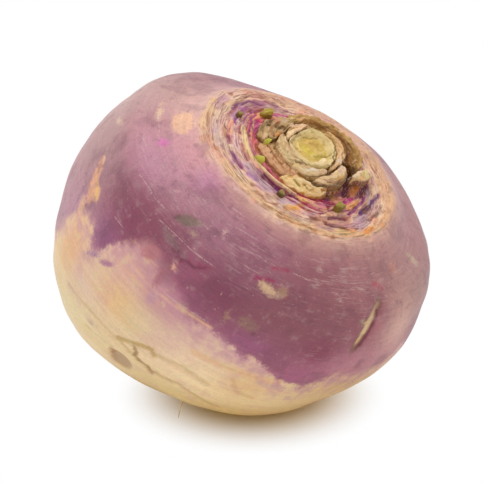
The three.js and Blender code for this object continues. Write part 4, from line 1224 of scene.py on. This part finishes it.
# Leaf bases: ground colour, wall colour, then from end to end: bearing about the heart, inner and outer
# distance, level at the inner and outer edge.
LEAF_BASES = {
    "leaf_base_inner_front": ("dcbf94", "b48c58", [
        (203, 6.35, 6.9, 30.6, 30.3), (222, 6.2, 7.6, 30.6, 30.1), (233, 5.8, 8.0, 30.6, 30.0),
        (245, 5.8, 8.5, 30.55, 30.0), (268, 6.05, 8.9, 30.45, 30.0), (290, 6.12, 9.1, 30.4, 30.0),
        (312, 6.05, 8.9, 30.4, 30.1), (330, 5.9, 7.6, 30.45, 30.35), (348, 5.8, 6.9, 30.5, 30.5)]),
    "leaf_base_inner_right": ("e2b98c", "a87c4c", [
        (350, 5.72, 6.55, 30.9, 30.8), (375, 5.6, 6.5, 31.0, 30.9), (395, 5.65, 7.2, 31.1, 31.0),
        (410, 5.8, 7.7, 31.25, 31.15), (425, 6.15, 7.95, 31.45, 31.35), (440, 6.5, 8.5, 31.5, 31.5),
        (455, 6.68, 8.6, 31.4, 31.3), (470, 6.7, 8.2, 31.2, 31.0)]),
    "leaf_base_inner_left": ("f0cc9e", "b08a5c", [
        (122, 6.6, 7.1, 30.8, 30.6), (136, 6.25, 7.2, 31.1, 30.8), (150, 5.45, 7.1, 31.25, 30.9),
        (165, 4.9, 6.8, 31.15, 30.8), (180, 4.7, 6.45, 31.1, 30.7), (200, 4.78, 6.2, 31.0, 30.65),
        (215, 5.05, 6.1, 30.9, 30.55), (226, 5.35, 5.9, 30.75, 30.5)]),
    "leaf_base_left": ("b89870", "86643c", [
        (150, 7.3, 9.8, 30.2, 29.4), (165, 7.05, 10.6, 30.3, 29.1), (180, 6.7, 11.1, 30.4, 28.9),
        (197, 6.5, 11.4, 30.4, 28.7), (213, 7.2, 11.6, 30.1, 28.6), (228, 8.0, 11.2, 29.4, 28.3)]),
    "leaf_base_front": ("d9a886", "a8785a", [
        (226, 8.7, 11.2, 28.8, 28.0), (238, 8.7, 11.5, 29.2, 28.1), (250, 8.8, 11.4, 29.8, 28.4),
        (265, 9.1, 11.2, 29.8, 28.4), (280, 9.3, 11.0, 29.7, 28.4), (292, 9.3, 10.5, 29.6, 28.7),
        (304, 9.3, 10.0, 29.4, 28.7)]),
    "leaf_base_right": ("f4d0a6", "946c44", [
        (312, 8.6, 9.4, 29.8, 29.4), (328, 8.0, 9.5, 30.2, 29.4), (345, 7.2, 9.6, 30.5, 29.5),
        (360, 6.95, 9.6, 30.65, 29.6), (378, 6.75, 9.5, 30.7, 29.7), (396, 7.5, 9.1, 30.6, 29.9)]),
    "leaf_base_crest": ("fbdfa6", "c8985a", [
        (276, 11.2, 12.0, 28.6, 28.2), (288, 10.8, 12.5, 29.3, 28.1), (300, 10.3, 12.7, 29.7, 28.1),
        (312, 10.1, 12.5, 29.7, 28.1), (324, 10.0, 11.9, 29.4, 28.1), (338, 9.8, 11.0, 28.8, 28.1)]),
    "leaf_base_outer_back": ("946226", "6a4014", [
        (44, 9.8, 12.8, 29.2, 29.5), (56, 9.0, 13.2, 28.7, 30.2), (72, 9.2, 13.4, 28.7, 30.6),
        (90, 9.1, 13.4, 28.7, 30.6), (108, 8.8, 13.3, 28.8, 30.2), (124, 8.0, 13.0, 29.1, 29.9),
        (140, 7.6, 12.4, 29.6, 29.6), (160, 7.5, 11.2, 29.9, 29.2)]),
    "leaf_base_outer_right": ("dcb98a", "8a5644", [
        (25, 10.2, 11.2, 29.6, 29.1), (33, 10.7, 13.2, 29.9, 29.3), (42, 11.9, 15.0, 29.9, 29.3),
        (51, 13.4, 15.8, 29.4, 28.9)]),
}
# How uneven the top of a leaf base is, where it isn't the usual 1.
ROUGHER = {"leaf_base_crest": 2.2, "leaf_base_left": 1.5, "leaf_base_outer_back": 1.5, "leaf_base_front": 1.3}
# The tall sheath at the back climbs steeply from a dark inner side, partly painted shade, to a pale outer
# rim.
SHEATH = "leaf_base_outer_back"
BASE_FOOT = 25.9          # level of the foot of every leaf base, under the skin


def make_leaf_base(node, ground, wall, knots, finish, seed):
    """One cut leaf base: a section carried round the heart by bearing.

    The section runs across the cut top, down the outer wall, along the foot and up the inner wall. The top
    goes from the inner level to the outer one, with thin ridges along the base, and falls away at its edges
    and ends.
    """
    table = np.array(knots)
    t = np.linspace(table[0, 0], table[-1, 0], BASE_ALONG)[:, None]
    inner, outer, low_in, low_out = (smooth_curve(table[:, [0, k]], t.ravel())[:, None] for k in (1, 2, 3, 4))
    arc = np.radians(t - t[0]) * float((inner + outer).mean()) / 2
    to_end = np.minimum(arc - arc[0], arc[-1] - arc)
    pinch = 0.45 * (1.0 - ease(to_end, 0.0, 1.3)) * (outer - inner)
    edge_noise = np.concatenate([arc, 0 * arc, 0 * arc + seed], -1)
    inner = inner + pinch + lumps(edge_noise, 1.6, seed)[:, None] * 0.07
    outer = outer - pinch + lumps(edge_noise, 1.3, seed + 1)[:, None] * 0.14

    u = np.linspace(0.0, 1.0, BASE_ACROSS)[None, :]
    r = inner + (outer - inner) * u
    z = low_in + (low_out - low_in) * (ease(u, 0.3, 0.85) if node == SHEATH else u)
    along = np.stack([arc * 0.3 + 0 * u, r * 2.4, 0 * r + seed], -1)
    spots = np.stack([arc + 0 * u, r, 0 * r + seed], -1)
    ridges = lumps(along, 1.3, seed + 2)
    uneven = ridges * 0.1 + lumps(spots, 1.1, seed + 3) * 0.09 + lumps(spots, 3.0, seed + 4) * 0.1
    z = z + ROUGHER.get(node, 1.0) * uneven
    to_edge = np.minimum(u, 1.0 - u) * (outer - inner)
    z = z - 0.16 * (1.0 - ease(to_edge, 0.0, 0.26)) - 1.2 * (1.0 - ease(to_end + 0 * u, 0.0, 0.9))
    turn = np.radians(t)
    top = np.stack([HEART_CENTRE[0] + r * np.cos(turn), HEART_CENTRE[1] + r * np.sin(turn), z], -1)
    # The wall colour laid in the troughs between the ridges is painted shade.
    tone = laid_over(plain_coat(top.shape, ground), ease(-ridges, 0.2, 1.4) * 0.5, wall)
    tone, rise = lay_strokes(tone, *about_heart(top), CUT_STROKES)
    tone = laid_over(tone, 0.15 + 0 * z, "e8b878")
    if node == SHEATH:
        tone = laid_over(tone, ease(u + 0 * z, 0.66, 0.86) * 0.7, "d2aa70")
        # Painted shade on the inner side, towards the heart.
        tone = laid_over(tone, (1.0 - ease(u + 0 * z, 0.1, 0.5)) * 0.5, "6a3c0c")
    tone = laid_over(tone, 0.35 * (1.0 - ease(to_edge, 0.02, 0.16)), wall)
    top[..., 2] += rise * (0.3 + 0.7 * ease(to_edge, 0.0, 0.3))

    down = np.linspace(0.0, 1.0, BASE_DOWN + 1)[1:]
    sides = []
    for at in (top[:, -1:], top[:, :1]):
        side = np.repeat(at, len(down), axis=1)
        side[..., 2] += (BASE_FOOT - side[..., 2]) * down
        sides.append(side)
    flat = 0 * sides[0][..., 0]
    # Both walls darken towards the foot: painted shade deep in the gaps between the pieces.
    outside = laid_over(plain_coat(sides[0].shape, wall), 0.3 * ease(down + flat, 0.1, 0.5), "6e4a28")
    points = np.concatenate([top, sides[0], sides[1][:, ::-1]], 1)
    span = np.concatenate([r, outer + flat, inner + flat], 1)
    fields = {
        "grown": points,
        "grain": np.stack([arc * 0.45 + 0 * span, span * 2.6, points[..., 2] * 2.4], -1),
        "tone": opaque(richer(np.concatenate([tone, outside, outside[:, ::-1]], 1), 1.14)),
    }
    kept(surface(node.replace("leaf_base", "turnip_stalk"), points, fields), finish, node)


def make_leaf_bases():
    """All nine leaf bases, each with the finish of its slot."""
    finishes = {
        "leaf_base_fresh": stalk_finish("stalk_fresh", "a87c4c", "fae6c4", 0.45, 0.5),
        "leaf_base_withered": stalk_finish("stalk_withered", "5c3818", "e4c496", 0.5, 0.7),
        "leaf_base_corky": stalk_finish("stalk_corky", "a88038", "fff0cc", 0.45, 0.6),
    }
    for number, (node, row) in enumerate(LEAF_BASES.items()):
        make_leaf_base(node, *row, finish=finishes[SLOT_OF[node]], seed=100 + 10 * number)


# ------------------------------------------------------------ buds and the rootlet

# Buds: node, length round the ring, width, height, lean towards the crown's middle, shift round, out and up,
# tip colour, foot colour.
BUDS = [
    ("bud_1", 3.4, 1.9, 1.7, 0.1, 0.3, -0.6, 0.0, "b9a02f", "9a7a2c"),
    ("bud_2", 1.5, 1.4, 2.2, 0.1, 0.1, 0.9, 0.2, "c6c23c", "a8983c"),
    ("bud_3", 2.3, 1.7, 1.6, 0.1, 0.4, 0.7, 0.0, "c2ba34", "a08a2c"),
    ("bud_4", 1.2, 1.3, 1.0, 0.0, 0.0, 0.2, 0.0, "a08a3a", "6e5626"),
    ("bud_5", 1.6, 1.1, 1.0, 0.0, 0.7, 0.0, 0.0, "96803a", "5f4a1e"),
    ("bud_6", 2.5, 1.5, 1.3, 0.1, -0.7, 0.5, 0.0, "a08c28", "7a6622"),
]
BUD_SINK = 1.5            # how far the foot of a bud is drawn down into the skin


def make_bud(node, long, wide, tall, lean, to_side, to_rim, lift, tip, foot, finish, seed):
    """A small leaf bud: a lopsided oval mound with a folded crease along it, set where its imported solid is.

    The lowest eighth of the mound is drawn down by the sink, so that the bud grows out of the skin.
    """
    low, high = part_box(node)
    centre = grown((np.array(low) + np.array(high)) / 2)
    bearing = math.atan2(centre[1], centre[0])
    rise = np.linspace(0.0, 1.0, BUD_UP)[:, None]
    s = np.linspace(0.0, 2 * math.pi, BUD_ROUND, endpoint=False)[None, :]
    girth = np.sqrt(np.clip(1.0 - rise**1.7, 0.0, 1.0)) + 0.02
    a = long / 2 * girth * np.cos(s)
    c = wide / 2 * girth * np.sin(s)
    crease = 0.16 * wide * bell(c, 0.12 * wide) * rise
    z = (rise - 0.35) * tall - crease * 1.5 - BUD_SINK * (1.0 - ease(rise, 0.0, 0.12))
    z = z + 0.06 * np.sin(a * 4.0 + seed)
    a = a + to_side + 0.15 * long * rise * math.cos(seed)
    out = c - lean * tall * rise + to_rim
    x = centre[0] + out * math.cos(bearing) - a * math.sin(bearing)
    y = centre[1] + out * math.sin(bearing) + a * math.cos(bearing)
    points = np.stack([x, y, centre[2] + lift - 0.15 * tall + z], -1)
    points = points + (lumps(points, 1.2, seed) * 0.09)[..., None]
    tone = laid_over(plain_coat(points.shape, foot), ease(rise + 0 * s, 0.15, 0.75), tip)
    kept(surface("turnip_" + node, points, {"grown": points, "tone": opaque(tone)}), finish, node)


def make_buds():
    """All six buds, in one finish."""
    finish = bud_finish()
    for number, row in enumerate(BUDS):
        make_bud(*row, finish=finish, seed=300 + number)


ROOTLET_POLAR = 119.5
ROOTLET_BEARING = -59.0
ROOTLET_START = -0.6      # from the skin outwards, so it starts under the skin
ROOTLET_END = 1.3
ROOTLET_DROP = 3.0
ROOTLET_HALF_WIDTH = 0.2


def make_rootlet():
    """One dry root hair: a thin tube whose path starts under the skin, runs out and curls down, thinning."""
    start = outward(ROOTLET_POLAR, ROOTLET_BEARING)
    first = start * float(skin_radius(np.array(ROOTLET_POLAR), np.array(ROOTLET_BEARING)))
    t = np.linspace(0.0, 1.0, ROOTLET_ALONG)
    out = ROOTLET_START + (ROOTLET_END - ROOTLET_START) * t
    leaned = (first + start * out[:, None]) @ TURN.T
    leaned[:, 0] += 0.6 * np.sin(math.pi * t) + 0.15 * np.sin(7 * t)
    leaned[:, 2] -= ROOTLET_DROP * t**2
    path = leaned @ TURN
    forward = np.gradient(path, axis=0)
    forward /= np.linalg.norm(forward, axis=1)[:, None]
    # Any direction that the path never takes gives a steady frame for the round section.
    left = np.cross(forward, np.array([0.3, 0.9, 0.1]))
    left /= np.linalg.norm(left, axis=1)[:, None]
    up = np.cross(forward, left)
    s = np.linspace(0.0, 2 * math.pi, ROOTLET_ROUND, endpoint=False)[None, :, None]
    thin = (ROOTLET_HALF_WIDTH * (1.0 - 0.7 * t))[:, None, None]
    points = path[:, None] + thin * (np.cos(s) * left[:, None] + np.sin(s) * up[:, None])
    kept(surface("turnip_rootlet", points, {"grown": points}), rootlet_finish(), "rootlet")


# ------------------------------------------------------------ camera, light and floor

WHITE = (1.0, 1.0, 1.0, 1.0)
VIEW_HEIGHT = 20.0        # degrees above the floor
VIEW_DISTANCE = 0.2957
VIEW_LENS = 100.0
VIEW_FILM = 36.0
VIEW_SHIFT = (-0.0053, 0.0164)
ROOM_LIGHT = 0.75
LAMP_LIGHT = 1.0
LAMP_SPREAD = 40.0
LAMP_TURN = (-14.0, -12.0, 0.0)
FLOOR_REACH = 3.0
FLOOR_TONE = (0.97, 0.965, 0.955, 1.0)
FLOOR_BOUNCE_TONE = (0.97, 0.81, 0.46, 1.0)     # painted warm light bounced from the root onto the floor
SHADOW_MIDDLE = (0.002, 0.003, 0.0)
BOUNCE_FROM, BOUNCE_FULL = 0.036, 0.016           # metres from the shadow's middle
WHITE_FROM, WHITE_FULL = 0.013, 0.032


def make_camera():
    """A long lens a little above the turnip, level with its middle."""
    data = bpy.data.cameras.new("camera")
    data.lens = VIEW_LENS
    data.sensor_width = VIEW_FILM
    data.clip_start = 0.01
    data.shift_x, data.shift_y = VIEW_SHIFT
    camera = bpy.data.objects.new("camera", data)
    up = math.radians(VIEW_HEIGHT)
    x, y, z = MIDDLE * MM
    camera.location = (x, y - VIEW_DISTANCE * math.cos(up), z + VIEW_DISTANCE * math.sin(up))
    camera.rotation_euler = (math.pi / 2 - up, 0.0, 0.0)
    bpy.context.scene.collection.objects.link(camera)
    bpy.context.scene.camera = camera


def make_light():
    """A white room: even light from all round, seen as plain white, and one broad soft lamp overhead."""
    world = bpy.data.worlds.new("studio")
    f = Finish(world)
    rays = ("Is Camera Ray", "Is Glossy Ray", "Is Transmission Ray")
    camera, glossy, through = (f.node("ShaderNodeLightPath", out=ray) for ray in rays)
    seen = camera.joined("MAXIMUM", camera.joined("MAXIMUM", camera, glossy), through)
    lights = ({"Color": WHITE, "Strength": strength} for strength in (ROOM_LIGHT, 1.0))
    room, white = (f.node("ShaderNodeBackground", {}, sockets) for sockets in lights)
    both = f.node("ShaderNodeMixShader", {}, {0: seen, 1: room, 2: white})
    f.node("ShaderNodeOutputWorld", {}, {"Surface": both})
    bpy.context.scene.world = world

    data = bpy.data.lights.new("overhead", "SUN")
    data.energy = LAMP_LIGHT
    data.angle = math.radians(LAMP_SPREAD)
    lamp = bpy.data.objects.new("overhead", data)
    lamp.rotation_euler = [math.radians(turn) for turn in LAMP_TURN]
    bpy.context.scene.collection.objects.link(lamp)


def make_floor():
    """A pale sheet under the turnip with painted bounce light round the foot. It keeps the shadow round the
    foot and is white further out.
    """
    mesh = bpy.data.meshes.new("floor")
    corners = [(x * FLOOR_REACH, y * FLOOR_REACH, 0.0) for x, y in ((-1, -1), (1, -1), (1, 1), (-1, 1))]
    mesh.from_pydata(corners, [], [(0, 1, 2, 3)])
    floor = bpy.data.objects.new("floor", mesh)
    bpy.context.scene.collection.objects.link(floor)
    f = Finish(bpy.data.materials.new("pale_floor"))
    where = f.node("ShaderNodeTexCoord", out="Object")
    settings = {"operation": "DISTANCE"}
    from_foot = f.node("ShaderNodeVectorMath", settings, {0: where, 1: SHADOW_MIDDLE}, out="Value")
    # Painted warm bounce light from the root, fading out from the foot.
    colour = f.blend(f.between(from_foot, BOUNCE_FROM, BOUNCE_FULL), FLOOR_TONE, FLOOR_BOUNCE_TONE)
    grain = 0.995 + f.noise(where, 30.0) * 0.01
    sheet = f.node("ShaderNodeBsdfDiffuse", {}, {"Color": f.shaded(colour, grain)})
    plain = f.node("ShaderNodeEmission", {}, {"Color": WHITE, "Strength": 1.0})
    seen = f.node("ShaderNodeLightPath", out="Is Camera Ray")
    outside = f.between(from_foot, WHITE_FROM, WHITE_FULL) * seen
    both = f.node("ShaderNodeMixShader", {}, {0: outside, 1: sheet, 2: plain})
    f.node("ShaderNodeOutputMaterial", {}, {"Surface": both})
    mesh.materials.append(f.owner)


bpy.context.scene.view_settings.view_transform = "Standard"
make_camera()
make_light()
make_floor()
make_root()
make_heart()
make_leaf_bases()
make_buds()
make_rootlet()

bpy.context.view_layer.update()
